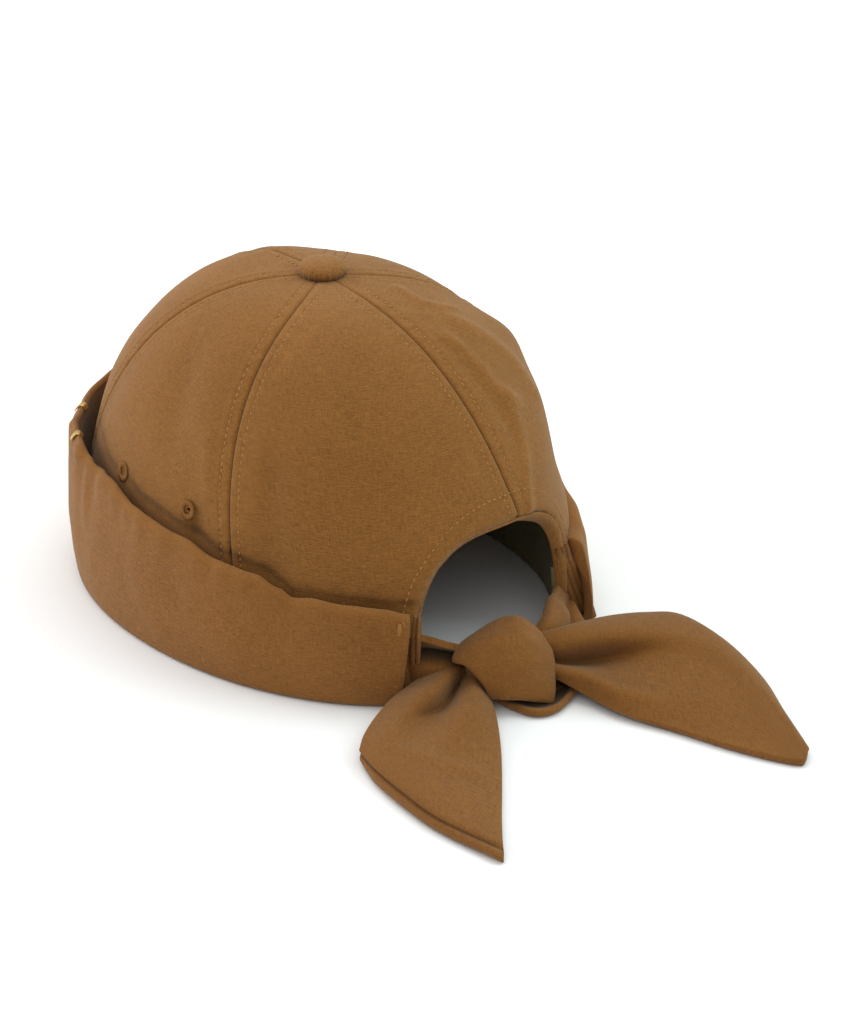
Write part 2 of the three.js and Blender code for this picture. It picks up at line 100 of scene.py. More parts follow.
# Cuff
CUFF_FRONT_HEIGHT = 62
CUFF_BACK_HEIGHT = 40
CUFF_WALL = 2.6
CUFF_INNER = 3.2
CUFF_OUTER = CUFF_INNER + CUFF_WALL
CUFF_BULGE = 1.8
CUFF_SETBACK = 5
CUFF_END_FILL = 3.2
CUFF_CLOTH_LENGTH = 560
CUFF_CLOTH_GIRTH = 140
RIM_THICKNESS = 3
RIM_REACH = 5.2
RIM_EDGE = 0.8

# Sweatband
BAND_HEIGHT = 37
BAND_WALL = 1.3
BAND_STANDOFF = 1.7
BAND_LIFT = 0.7
BAND_INSET = 7
BAND_LENGTH = 520

# Eyelets and clips
EYELET_RADIUS = 4.3
EYELET_THREAD = 2.9
EYELET_HOLE = 1.3
EYELET_HEIGHT = 59
EYELET_TURNS = (84, 115)
EYELET_THREADS = 26
CLIP_TURNS = (135.5, 152)
CLIP_WIDTH = 3.4
CLIP_FROM = 9.3
CLIP_TO = 12.6
CLIP_SHEET = 0.5

# Tie
TAIL_PLY = 1.5
STRAP_PLY = 1.3
KNOT_WALL = 1.7
FOLD_WALL = 1.4
LEFT_TAIL_LENGTH = 104
END_BAND_LENGTH = 26
TAIL_WIDTH = 60
LEFT_TIP = 3.6
RIGHT_TIP = 3

# Seams of the crown: turn at the hem, at half the rise and under the button
SEAMS = [
    (-9, 1.8, 8),
    (63, 70, 56),
    (150, 136, 130),
    (180, 182, 195),
    (225, 226, 238),
    (300, 297, 318),
]

PANELS = [
    "panel_back_left",
    "panel_side_left",
    "panel_front_left",
    "panel_front_right",
    "panel_side_right",
    "panel_back_right",
]

# Soft folds of the crown: turn and height of the middle, reach across in degrees and along in shares
# of the height, and depth in millimetres
CROWN_FOLDS = [
    (-47, 0.79, 11, 0.065, 3.0),
    (-40, 0.5, 18, 0.12, -3.1),
    (185, 0.95, 23, 0.07, 2.1),
    (-38, 0.9, 10, 0.06, -0.8),
    (40, 0.62, 9, 0.12, -0.65),
    (100, 0.7, 12, 0.1, -0.65),
    (160, 0.75, 9, 0.12, -0.65),
    (255, 0.68, 12, 0.12, -0.8),
]

# Creases of the crown: places along each as turn and height, its half width and depth in millimetres
CROWN_CREASES = [
    ([(-7, 0.92), (-8, 0.89), (-9, 0.84), (-9, 0.8), (-12, 0.77), (-15, 0.735)], 2.8, 1.3),
    ([(-7, 0.885), (-6, 0.82), (-7, 0.74), (-9, 0.66)], 3.5, -0.8),
    ([(-24, 0.987), (-18, 0.969), (-22, 0.953), (-28, 0.935)], 2.4, 0.9),
    ([(-19, 0.93), (-23, 0.89), (-26, 0.81), (-27, 0.7)], 4.5, 1.3),
    ([(-12, 0.76), (-11, 0.68), (-9, 0.6), (-7, 0.52), (-6, 0.44)], 2.6, 1.2),
    ([(57, 0.62), (57, 0.502), (55, 0.37)], 6.0, -1.1),
    ([(80, 0.66), (77, 0.52)], 4.0, 0.7),
    ([(30, 0.9), (34, 0.78), (36, 0.68)], 7.0, -0.7),
    ([(104, 0.82), (98, 0.7), (96, 0.6)], 9.0, -1.0),
    ([(81, 0.44), (79, 0.32)], 4.5, -1.0),
    ([(20, 0.8), (24, 0.62), (22, 0.5)], 8.0, 0.6),
]

# Height of the cuff round the head: turn, and share of the rise from the back to the front height
CUFF_RISES = [
    (27, -0.05),
    (38, 0.04),
    (45, 0.09),
    (50, 0.04),
    (53, 0.17),
    (59, 0.32),
    (70, 0.4),
    (81, 0.56),
    (101, 0.67),
    (115, 0.83),
    (122, 0.81),
    (127, 0.87),
    (131, 1),
    (142, 0.98),
    (152, 0.94),
    (180, 1),
    (210, 1),
    (250, 0.7),
    (276, 0.35),
    (300, 0.05),
    (318, -0.06),
    (333, -0.14),
]

# How far the cuff's top leans in towards the crown: turn and millimetres
CUFF_LEANS = [
    (0, 0),
    (95, 0.6),
    (112, 2),
    (124, 2),
    (131, 0.3),
    (142, 0.2),
    (150, 1.9),
    (170, 1.6),
    (190, 1),
    (230, 0.6),
    (290, 1.2),
    (310, 2.2),
    (334, 2.4),
]

button_low, button_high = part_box("crown_button")
SHIFT = (
    (button_low[0] + button_high[0]) * 500 - CROWN_LEAN[0],
    (button_low[1] + button_high[1]) * 500 - CROWN_LEAN[1],
)


def metres(point):
    return Vector((point[0] + SHIFT[0], point[1] + SHIFT[1], point[2])) * 0.001


def mix(a, b, share):
    return a + (b - a) * share


def ease(value, low, high):
    share = min(max((value - low) / (high - low), 0), 1)
    return share * share * (3 - 2 * share)


def bump(value, width):
    return math.exp(-((value / width) ** 2))


# Surface of the crown, as in the solids
def direction(turn):
    angle = math.radians(turn)
    return math.sin(angle), math.cos(angle)


def headline(turn):
    x, y = direction(turn)
    front = abs(2 * y / CROWN_LENGTH) ** CROWN_SQUARENESS
    side = abs(2 * x / CROWN_WIDTH) ** CROWN_SQUARENESS
    return (front + side) ** (-1 / CROWN_SQUARENESS)


def fullness(turn):
    return mix(SIDE_FULLNESS, FRONT_FULLNESS, 0.5 + 0.5 * math.cos(math.radians(turn - FRONT_TURN)))


def crown_reach(turn, rise):
    return headline(turn) * math.cos(rise * math.pi / 2) ** (2 / fullness(turn))


def eye_rise(turn):
    return math.acos((CROWN_EYE / headline(turn)) ** (fullness(turn) / 2)) * 2 / math.pi


def crown_base(turn, rise):
    height = math.sin(rise * math.pi / 2) ** (2 / TOP_FULLNESS)
    x, y = direction(turn)
    reach = crown_reach(turn, rise)
    lean = height * height
    return Vector(
        (
            x * reach + CROWN_LEAN[0] * lean,
            y * reach + CROWN_LEAN[1] * lean,
            HEM_HEIGHT + CROWN_RISE * height,
        )
    )


def crown_normal(turn, rise):
    step = 0.01
    along = crown_base(turn, min(rise + step, 1 - step)) - crown_base(turn, max(rise - step, 0))
    around = crown_base(turn - step, rise) - crown_base(turn + step, rise)
    return around.cross(along).normalized()


def wrapped(turn):
    return (turn + 180) % 360 - 180


def fold_depth(turn, height):
    depth = 0
    for middle, level, across, along, deep in CROWN_FOLDS:
        depth += deep * math.exp(-((wrapped(turn - middle) / across) ** 2) - ((height - level) / along) ** 2)
    return depth * min(1, (1 - height) / FOLD_TOP_FADE)


def seam_turn(seam, rise):
    early = 2 * (rise - 0.5) * (rise - 1)
    middle = 4 * rise * (1 - rise)
    late = 2 * rise * (rise - 0.5)
    return early * seam[0] + middle * seam[1] + late * seam[2]


def rise_at(height):
    share = min(max((height - HEM_HEIGHT) / CROWN_RISE, 0), 1)
    return math.asin(share ** (TOP_FULLNESS / 2)) * 2 / math.pi


def soft_noise(point, size, seed=0.0):
    return noise.noise(Vector((point[0] / size + seed, point[1] / size, point[2] / size)))


# The arch's line on the crown
def arch_level(point):
    across = abs(point[0] - ARCH_SHIFT) / (ARCH_WIDTH / 2)
    up = max(point[2], 0) / ARCH_HEIGHT
    return (across**ARCH_SQUARENESS + up**ARCH_SQUARENESS) ** (1 / ARCH_SQUARENESS) - 1


def on_arch(share, outset=0.0):
    """A point of the crown on the arch's line, from its left foot (0) to its right foot (1)."""
    angle = share * math.pi
    reach = ARCH_WIDTH / 2 + outset
    wide = math.copysign(abs(math.cos(angle)) ** (2 / ARCH_SQUARENESS), math.cos(angle))
    x = ARCH_SHIFT + reach * wide
    z = max((ARCH_HEIGHT + outset) * math.sin(angle) ** (2 / ARCH_SQUARENESS), HEM_HEIGHT)
    rise = rise_at(z)
    turn = 0
    for _ in range(6):
        lean = CROWN_LEAN[0] * ((z - HEM_HEIGHT) / CROWN_RISE) ** 2
        turn = math.degrees(math.asin((x - lean) / crown_reach(turn, rise)))
    return turn, rise


ARCH_LINE = [crown_base(*on_arch(i / 90)) for i in range(91)]


def line_gap(line, point):
    """Distance of a point from a line of points."""
    best = 1e9
    for a, b in zip(line, line[1:]):
        side = b - a
        share = min(max((point - a).dot(side) / max(side.length_squared, 1e-9), 0), 1)
        best = min(best, (point - a - side * share).length_squared)
    return math.sqrt(best)


def arch_gap(point):
    return line_gap(ARCH_LINE, point)


def hem_width(x):
    """Width of the arch's hem, wider over the top of the arch than down its sides."""
    return mix(ARCH_HEM_TOP, ARCH_HEM_SIDE, ease(abs(x - ARCH_SHIFT) / (ARCH_WIDTH / 2), 0.1, 0.8))


CREASE_LINES = [
    ([crown_base(turn, rise_at(HEM_HEIGHT + CROWN_RISE * height)) for turn, height in places], width, depth)
    for places, width, depth in CROWN_CREASES
]


def crease_depth(point):
    return sum(depth * bump(line_gap(line, point), width) for line, width, depth in CREASE_LINES)


# Face of a panel with its seams' grooves, the strip that the topstitching holds down, its folds, and the
# light and shade painted into its colour
def panel_width(panel, rise, turn):
    return crown_reach(turn, rise) * math.radians(seam_turn(panel[1], rise) - seam_turn(panel[0], rise))


def seam_relief(gap, length):
    groove = -SEAM_GROOVE * bump(gap, SEAM_LIP)
    past_stitch = ease(gap, TOPSTITCH_OFFSET + 0.6, TOPSTITCH_OFFSET + 3.2)
    allowance = SEAM_ALLOWANCE_RISE * ease(gap, 0.4, 1.4) * (1 - past_stitch)
    pull = 0.7 + 0.3 * math.cos(2 * math.pi * length / STITCH_PITCH)
    held = -STITCH_DIP * bump(gap - TOPSTITCH_OFFSET, 0.75) * pull
    pucker = SEAM_PUCKER * bump(gap, 7) * math.sin(length * 0.62 + 1.7 * math.sin(length * 0.11))
    pucker *= ease(gap, 0.4, 3)
    return groove + allowance + held + pucker


def panel_turn(panel, across, rise):
    return mix(seam_turn(panel[0], rise), seam_turn(panel[1], rise), across)


def panel_face(panel, across, rise, detail=True):
    turn = panel_turn(panel, across, rise)
    base = crown_base(turn, rise)
    height = (base.z - HEM_HEIGHT) / CROWN_RISE
    far = bump(wrapped(turn - FAR_SEAM_TURN), FAR_SEAM_REACH) * ease(rise, 0.55, 0.72)
    full = 1 - abs(2 * across - 1) ** 3 * (1 - far)
    swell = PANEL_PUFF * full * math.sin(rise * math.pi) + fold_depth(turn, height)
    painted_shading = 0
    if detail:
        width = max(panel_width(panel, rise, turn), 0.1)
        gap = min(across, 1 - across) * width
        length = rise * 190 + (17 if across > 0.5 else 0)
        relief = seam_relief(gap, length) * mix(0.3, 1, ease(width, 6, 34))
        relief *= 1 - FAR_SEAM_SOFTENING * far
        wave = 0.95 * soft_noise(base, 46) + 0.3 * soft_noise(base, 17, 3.1)
        crease = crease_depth(base)
        swell += relief + wave * ease(gap, 1, 14) + crease * ease(gap, 0.5, 3)
        stitched = bump(gap - TOPSTITCH_OFFSET, 0.8)
        # Painted light and shade: lighter on bulges and raised creases, darker in dents, painted shade in
        # the seam's groove, a painted highlight on the allowance beside it, and painted shade along the
        # stitch line.
        painted_shading = 0.25 * wave + 0.3 * crease - 0.75 * bump(gap, 0.45)
        painted_shading += 0.15 * bump(gap - 1.8, 1.2) - 0.4 * stitched
        # Painted shade on the crown just above the cuff's top edge.
        painted_shading -= 0.8 * bump(base.z - cuff_height(turn) - CUFF_SHADE_DROP, CUFF_SHADE_REACH)
        if panel[2].startswith("panel_back") and base.y > 40 and base.z < 90:
            edge = arch_gap(base)
            hem = hem_width(base.x)
            swell -= ARCH_EDGE_ROUND * bump(edge, 0.9)
            swell += ARCH_HEM_RISE * (1 - ease(edge, hem, hem + 2.5)) * ease(edge, 0.5, 2)
            swell -= ARCH_STITCH_DIP * bump(edge - hem, 0.8)
            # Painted highlight on the arch's rolled edge and painted shade along the hem's stitch line.
            painted_shading += 0.4 * bump(edge - 1.2, 1.2) - 0.25 * bump(edge - hem, 0.8)
    return base + crown_normal(turn, rise) * swell, painted_shading


# Building pieces
def flat_grid(columns, rows, column_place=None, row_place=None):
    """A grid from 0 to 1 each way, whose lines may be moved by a function of their share."""
    bm = bmesh.new()
    bmesh.ops.create_grid(bm, x_segments=columns, y_segments=rows, size=0.5)
    for vert in bm.verts:
        u = min(max(vert.co.x + 0.5, 0), 1)
        w = min(max(vert.co.y + 0.5, 0), 1)
        vert.co = (column_place(u) if column_place else u, row_place(w) if row_place else w, 0)
    return bm


def cut_away(bm, level):
    """Cuts a flat grid along the line where level is nought, and drops the side where it is below."""
    values = {vert: level(vert.co) for vert in bm.verts}
    if min(values.values()) >= 0:
        return

    def crossing(edge):
        a, b = edge.verts
        if values[a] * values[b] >= 0:
            return None
        low, high = (0.0, 1.0) if values[a] < 0 else (1.0, 0.0)
        for _ in range(12):
            middle = (low + high) / 2
            if level(a.co.lerp(b.co, middle)) < 0:
                low = middle
            else:
                high = middle
        return high

    on_line = []
    for edge in list(bm.edges):
        share = crossing(edge)
        if share is None or 0.2 < share < 0.8:
            continue
        a, b = edge.verts
        near = a if share < 0.5 else b
        near.co = a.co.lerp(b.co, share)
        values[near] = 0
        on_line.append(near)
    for edge in list(bm.edges):
        share = crossing(edge)
        if share is None:
            continue
        a, b = edge.verts
        place = a.co.lerp(b.co, share)
        _, vert = bmesh.utils.edge_split(edge, a, share)
        vert.co = place
        values[vert] = 0
        on_line.append(vert)
    bmesh.ops.connect_verts(bm, verts=on_line)
    gone = [face for face in bm.faces if min(values[vert] for vert in face.verts) < 0]
    bmesh.ops.delete(bm, geom=gone, context="FACES")


def shape_grid(bm, point, flat):
    """Moves a flat grid to its place. point gives a place and the light and shade painted into its colour,
    flat the cloth's own lengths.
    """
    uv = bm.loops.layers.uv.new("cloth")
    painted_shading = bm.verts.layers.float.new("painted_shading")
    for face in bm.faces:
        for loop in face.loops:
            loop[uv].uv = [0.001 * value for value in flat(loop.vert.co.x, loop.vert.co.y)]
    for vert in bm.verts:
        place, shade = point(vert.co.x, vert.co.y)
        vert.co = metres(place)
        vert[painted_shading] = shade


def face_away(bm, middle):
    """Turns the faces outwards from a middle point."""
    middle = metres(middle)
    bm.normal_update()
    out = sum((face.calc_center_median() - middle).dot(face.normal) * face.calc_area() for face in bm.faces)
    if out < 0:
        bmesh.ops.reverse_faces(bm, faces=bm.faces)


def add_piece(name, bm, finish, slot, *nodes):
    mesh = bpy.data.meshes.new(name)
    bm.to_mesh(mesh)
    bm.free()
    mesh.polygons.foreach_set("use_smooth", [True] * len(mesh.polygons))
    mesh.materials.append(finish)
    piece = bpy.data.objects.new(name, mesh)
    bpy.context.scene.collection.objects.link(piece)
    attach(piece, "root")
    if nodes:
        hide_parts(*nodes)
    return piece


def add_wall(piece, thickness, offset=-1):
    wall = piece.modifiers.new("wall", "SOLIDIFY")
    wall.thickness = thickness * 0.001
    wall.offset = offset
    wall.use_rim = True


# Shader maths
class Value:
    """A number that changes over a surface. Sums with it add Math nodes."""

    def __init__(self, finish, socket):
        self.finish = finish
        self.socket = socket

    def maths(self, operation, *others):
        node = self.finish.node(
            "ShaderNodeMath", {"operation": operation}, {i: other for i, other in enumerate(others)}
        )
        return Value(self.finish, node.outputs[0])

    def __add__(self, other):
        return self.maths("ADD", self, other)

    def __radd__(self, other):
        return self.maths("ADD", other, self)

    def __sub__(self, other):
        return self.maths("SUBTRACT", self, other)

    def __rsub__(self, other):
        return self.maths("SUBTRACT", other, self)

    def __mul__(self, other):
        return self.maths("MULTIPLY", self, other)

    def __rmul__(self, other):
        return self.maths("MULTIPLY", other, self)

    def sine(self):
        return self.maths("SINE", self)

    def within(self, low, high):
        return self.maths("MINIMUM", self.maths("MAXIMUM", self, low), high)


class Finish:
    """A material being made: one shader, and the nodes that feed it."""

    def __init__(self, name, constants):
        self.material = bpy.data.materials.new(name)
        self.material.use_nodes = True
        self.tree = self.material.node_tree
        self.shader = self.tree.nodes["Principled BSDF"]
        for socket, value in constants.items():
            self.shader.inputs[socket].default_value = value

    def fill(self, node, sockets):
        for key, value in sockets.items():
            socket = node.inputs[key]
            if isinstance(value, Value):
                self.tree.links.new(value.socket, socket)
            elif isinstance(value, bpy.types.NodeSocket):
                self.tree.links.new(value, socket)
            else:
                socket.default_value = value
        return node

    def node(self, kind, settings=None, sockets=None):
        node = self.tree.nodes.new(kind)
        for key, value in (settings or {}).items():
            setattr(node, key, value)
        return self.fill(node, sockets or {})

    def value(self, node, output=0):
        return Value(self, node.outputs[output])

    def noise(self, place, scale, detail=2.0, roughness=0.5):
        node = self.node(
            "ShaderNodeTexNoise",
            {"noise_dimensions": "3D"},
            {"Vector": place, "Scale": scale, "Detail": detail, "Roughness": roughness},
        )
        return self.value(node)

    def place(self, x, y, z=0.0):
        return self.node("ShaderNodeCombineXYZ", {}, {"X": x, "Y": y, "Z": z}).outputs[0]

    def blend(self, factor, a, b):
        node = self.node("ShaderNodeMix", {"data_type": "RGBA"})
        node.inputs[0].default_value = 0.5
        self.fill(node, {0: factor, 6: a, 7: b})
        return node.outputs[2]

    def bump(self, height, distance, strength):
        node = self.node(
            "ShaderNodeBump", {}, {"Height": height, "Distance": distance, "Strength": strength}
        )
        return node.outputs[0]

    def cloth_lengths(self):
        split = self.node("ShaderNodeSeparateXYZ")
        uv = self.node("ShaderNodeUVMap", {"uv_map": "cloth"})
        self.fill(split, {0: uv.outputs[0]})
        return self.value(split, 0), self.value(split, 1)

    def own_place(self):
        return self.node("ShaderNodeTexCoord").outputs["Object"]


def colour(red, green, blue, level=1.0):
    """A colour from its screen values, 0 to 255."""

    def linear(value):
        share = value / 255
        return share / 12.92 if share <= 0.04045 else ((share + 0.055) / 1.055) ** 2.4

    return (linear(red) * level, linear(green) * level, linear(blue) * level, 1)


THREAD_PITCH = 0.00052
MATT_SPECULAR = 0.12


def cloth_finish(name, tone, weft="across", slubs=1.0):
    """Plain-woven matt cotton with thick places in its weft threads, lightened and darkened by the light and
    shade painted on its pieces.
    """
    constants = {"Sheen Weight": 0.14, "Sheen Roughness": 0.5, "Sheen Tint": (1, 0.95, 0.74, 1)}
    finish = Finish(name, {**constants, "Specular IOR Level": MATT_SPECULAR})
    across, along = finish.cloth_lengths()
    if weft == "along":
        across, along = along, across
    warp = across * (math.pi / THREAD_PITCH)
    weft_line = along * (math.pi / THREAD_PITCH)
    weave = warp.sine() * weft_line.sine() * 0.5 + 0.5
    slub = finish.noise(finish.place(across * 190, along * 2100), 1.0, 2.0, 0.55)
    fine_slub = finish.noise(finish.place(across * 600, along * 3600, 4.0), 1.0, 1.0, 0.5)
    ends = finish.noise(finish.place(across * 1900, along * 220, 9.0), 1.0, 1.0, 0.5)
    own = finish.own_place()
    patches = finish.noise(own, 26.0, 2.0, 0.5)
    fuzz = finish.noise(own, 1900.0, 1.0, 0.6)
    # Light and shade painted on each piece, read from its attribute.
    painted_shading = finish.value(finish.node("ShaderNodeAttribute", {"attribute_name": "painted_shading"}), 2)
    streaks = (slub - 0.5) * (2.0 * slubs) + (fine_slub - 0.5) * (2.1 * slubs) + (ends - 0.5) * 1.2
    shade = 0.5 + streaks * 0.5 + (weave - 0.5) * 0.34 + (patches - 0.5) * 0.35 + (fuzz - 0.5) * 0.3
    # The painted light and shade lightens or darkens the cloth's tone.
    shade = (shade + painted_shading * 0.22).within(0, 1)
    red, green, blue = tone
    dark = colour(red * 0.8, green * 0.77, blue * 0.72)
    light = colour(min(red * 1.17, 255), min(green * 1.18, 255), min(blue * 1.22, 255))
    # Where the painted shading falls below -0.45, the colour blends towards a near-black brown as deep
    # painted shade.
    deep = ((painted_shading + 0.45) * -0.9).within(0, 0.75)
    base = finish.blend(deep, finish.blend(shade, dark, light), colour(red * 0.34, green * 0.32, blue * 0.3))
    finish.fill(finish.shader, {"Base Color": base, "Roughness": 0.93 - shade * 0.1})
    height = weave * 0.45 + slub * 0.8 + fine_slub * 0.35 + ends * 0.25 + fuzz * 0.2
    finish.fill(finish.shader, {"Normal": finish.bump(height, 0.00016, 0.7)})
    return finish.material


def thread_finish(name, tone):
    """Twisted sewing thread."""
    finish = Finish(name, {"Specular IOR Level": MATT_SPECULAR})
    own = finish.own_place()
    strands = finish.noise(own, 2600.0, 1.0, 0.5)
    patches = finish.noise(own, 90.0, 1.0, 0.5)
    shade = (0.5 + (strands - 0.5) * 0.9 + (patches - 0.5) * 0.6).within(0, 1)
    red, green, blue = tone
    dark = colour(red * 0.82, green * 0.8, blue * 0.76)
    light = colour(min(red * 1.14, 255), min(green * 1.14, 255), min(blue * 1.16, 255))
    base = finish.blend(shade, dark, light)
    finish.fill(finish.shader, {"Base Color": base, "Roughness": 0.78 - shade * 0.1})
    finish.fill(finish.shader, {"Normal": finish.bump(strands, 0.00008, 0.6)})
    return finish.material


def tape_finish(name, tone):
    """Twill tape, with slanting ribs."""
    finish = Finish(name, {"Sheen Weight": 0.08, "Specular IOR Level": 0.25})
    across, along = finish.cloth_lengths()
    ribs = ((across + along) * (math.pi / 0.0009)).sine() * 0.5 + 0.5
    threads = (along * (math.pi / 0.00045)).sine() * 0.5 + 0.5
    streaks = finish.noise(finish.place(across * 200, along * 1400), 1.0, 2.0, 0.5)
    patches = finish.noise(finish.own_place(), 60.0, 2.0, 0.5)
    shade = (0.5 + (ribs - 0.5) * 0.35 + (streaks - 0.5) * 0.7 + (patches - 0.5) * 0.5).within(0, 1)
    red, green, blue = tone
    dark = colour(red * 0.78, green * 0.78, blue * 0.78)
    light = colour(red * 1.18, green * 1.18, blue * 1.16)
    base = finish.blend(shade, dark, light)
    finish.fill(finish.shader, {"Base Color": base, "Roughness": 0.9 - shade * 0.08})
    finish.fill(finish.shader, {"Normal": finish.bump(ribs * 0.7 + threads * 0.3, 0.00018, 0.7)})
    return finish.material


def brass_finish(name):
    """Pressed brass sheet, rubbed dull on its flats."""
    finish = Finish(name, {"Metallic": 1.0})
    own = finish.own_place()
    rubbed = finish.noise(own, 420.0, 3.0, 0.6)
    grain = finish.noise(own, 3000.0, 1.0, 0.5)
    shade = (rubbed * 1.6 - 0.3).within(0, 1)
    base = finish.blend(shade, colour(176, 138, 78), colour(226, 192, 124))
    finish.fill(finish.shader, {"Base Color": base, "Roughness": 0.5 - shade * 0.18})
    finish.fill(finish.shader, {"Normal": finish.bump(grain + rubbed, 0.00005, 0.4)})
    return finish.material


crown_cloth = cloth_finish("crown_cloth", (127, 84, 38))
cuff_cloth = cloth_finish("cuff_cloth", (127, 83, 38))
tie_cloth = cloth_finish("tie_cloth", (119, 77, 34), slubs=0.8)
button_cloth = cloth_finish("button_cloth", (128, 86, 42))
crown_thread = thread_finish("crown_thread", (160, 115, 64))
eyelet_thread = thread_finish("eyelet_thread", (134, 91, 47))
sweatband_tape = tape_finish("sweatband_tape", (120, 113, 78))
binding_tape = tape_finish("binding_tape", (96, 88, 64))
clip_brass = brass_finish("clip_brass")


# Stitches: short lozenges of thread laid on a face, joined into one piece
def add_stitch(bm, place, along, normal, length=STITCH_LENGTH, width=STITCH_WIDTH, height=STITCH_HEIGHT):
    along = (along - normal * along.dot(normal)).normalized()
    side = normal.cross(along)
    frame_of = Matrix((along * length / 2, side * width / 2, normal * height / 2)).transposed() * 0.001
    matrix = frame_of.to_4x4()
    matrix.translation = metres(place + normal * 0.02)
    bmesh.ops.create_icosphere(bm, subdivisions=1, radius=1, matrix=matrix)


def stitch_line(bm, points, pitch=STITCH_PITCH, **sizes):
    """Stitches along a line of (place, normal), one to each pitch."""
    walked = 0
    target = pitch / 2
    for (a, normal_a), (b, normal_b) in zip(points, points[1:]):
        step = (b - a).length
        while step > 0 and walked + step >= target:
            share = (target - walked) / step
            add_stitch(bm, a.lerp(b, share), b - a, normal_a.lerp(normal_b, share).normalized(), **sizes)
            target += pitch
        walked += step


# Crown
def make_panel(index):
    first = SEAMS[index]
    last = SEAMS[(index + 1) % len(SEAMS)]
    over = 360 if index == len(SEAMS) - 1 else 0
    panel = (first, tuple(turn + over for turn in last), PANELS[index])
    columns, rows = ((64, 128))

    def column_place(share):
        return share - 0.125 * math.sin(2 * math.pi * share)

    bm = flat_grid(columns, rows, column_place)
    for vert in bm.verts:
        turn = panel_turn(panel, vert.co.x, vert.co.y)
        vert.co.y *= eye_rise(turn)
    if panel[2].startswith("panel_back"):

        def outside_arch(place):
            point = crown_base(panel_turn(panel, place.x, place.y), place.y)
            return arch_level(point) if point.y > 0 else 1

        cut_away(bm, outside_arch)
    if panel[2].startswith("panel_side"):
        side = 1 if panel[2].endswith("left") else -1
        for turn in EYELET_TURNS:
            middle = crown_base(side * turn, rise_at(EYELET_HEIGHT))

            def outside_hole(place):
                point = crown_base(panel_turn(panel, place.x, place.y), place.y)
                return (point - middle).length - EYELET_HOLE

            cut_away(bm, outside_hole)

    def flat(across, rise):
        turn = panel_turn(panel, across, rise)
        return (across - 0.5) * panel_width(panel, rise, turn), rise * PANEL_CLOTH_LENGTH

    shape_grid(bm, lambda across, rise: panel_face(panel, across, rise), flat)
    face_away(bm, (0, 0, 40))
    piece = add_piece(panel[2] + "_cloth", bm, crown_cloth, "crown_cloth", panel[2])
    add_wall(piece, CROWN_WALL)
    return panel


def seam_rows(panels):
    """A row of topstitching on each side of every seam."""
    bm = bmesh.new()
    steps = 260
    for panel in panels:
        for side in (0, 1):
            line = []
            for i in range(steps + 1):
                rise = mix(0.02, 0.955, i / steps)
                seam = seam_turn(panel[side], rise)
                width = panel_width(panel, rise, seam)
                share = min(TOPSTITCH_OFFSET / width, 0.3)
                across = share if side == 0 else 1 - share
                turn = panel_turn(panel, across, rise)
                base = crown_base(turn, rise)
                if panel[2].startswith("panel_back") and base.y > 40:
                    if arch_level(base) < 0 or arch_gap(base) < 1.5:
                        continue
                line.append((panel_face(panel, across, rise)[0], crown_normal(turn, rise)))
            stitch_line(bm, line)
    add_piece("crown_topstitching", bm, crown_thread, "crown_cloth")


def arch_row(panels):
    """The hem's row of stitches round the arch."""
    bm = bmesh.new()
    line = []
    for i in range(241):
        share = mix(0.03, 0.97, i / 240)
        turn, rise = on_arch(share)
        turn, rise = on_arch(share, hem_width(crown_base(turn, rise).x))
        line.append((arch_face(panels, turn, rise), crown_normal(turn, rise)))
    stitch_line(bm, line)
    add_piece("arch_topstitching", bm, crown_thread, "crown_cloth")


def arch_face(panels, turn, rise, depth=0.0):
    """The crown's face near the arch, or a depth behind it."""
    panel = panels[0] if turn > seam_turn(SEAMS[0], rise) else panels[-1]
    about = turn if panel is panels[0] else turn + 360
    first, last = seam_turn(panel[0], rise), seam_turn(panel[1], rise)
    place, _ = panel_face(panel, (about - first) / (last - first), rise)
    return place - crown_normal(turn, rise) * depth


def lip_place(share, across, proud=0.0):
    """A place on the rolled hem that runs from the arch's edge into the crown."""
    angle = share * math.pi
    height = ARCH_HEIGHT * math.sin(angle) ** (2 / ARCH_SQUARENESS)
    right = ease(share, 0.42, 0.62)
    reach = mix(-0.9, ARCH_LIP_REACH * ease(height, 6, 24), right)
    turn, rise = on_arch(share, -reach * across + proud)
    depth = 0.7 + ARCH_LIP_DEPTH * (across - 0.25 * math.sin(across * math.pi) * right)
    return crown_base(turn, rise) - crown_normal(turn, rise) * depth


def make_lip():
    """The hem's rolled edge and the tape that binds it inside."""

    def point(share, across):
        place = lip_place(share, across, 0.15)
        wave = 0.3 * soft_noise((share * ARCH_LIP_LENGTH, across * ARCH_LIP_WIDTH, 4), 12)
        # Painted highlight along the arch's edge, turning to painted shade deeper into the hem.
        return place + Vector((0, wave, 0)), 0.3 * bump(across, 0.3) - 0.3 * across

    bm = flat_grid(180, 10)
    shape_grid(bm, point, lambda share, across: (share * ARCH_LIP_LENGTH, across * ARCH_LIP_WIDTH))
    face_away(bm, (0, 200, 20))
    bmesh.ops.reverse_faces(bm, faces=bm.faces)
    piece = add_piece("arch_hem_lip", bm, crown_cloth, "crown_cloth")
    add_wall(piece, 1.1, 1)

    def tape_point(share, across):
        return lip_place(mix(TAPE_FROM, TAPE_TO, share), mix(0.98, 1.16, across), -0.2), 0

    bm = flat_grid(40, 4)
    shape_grid(bm, tape_point, lambda share, across: (share * 16, across * 3))
    face_away(bm, (0, 200, 20))
    bmesh.ops.reverse_faces(bm, faces=bm.faces)
    piece = add_piece("arch_binding", bm, binding_tape, "sweatband_tape")
    add_wall(piece, 0.8, 1)


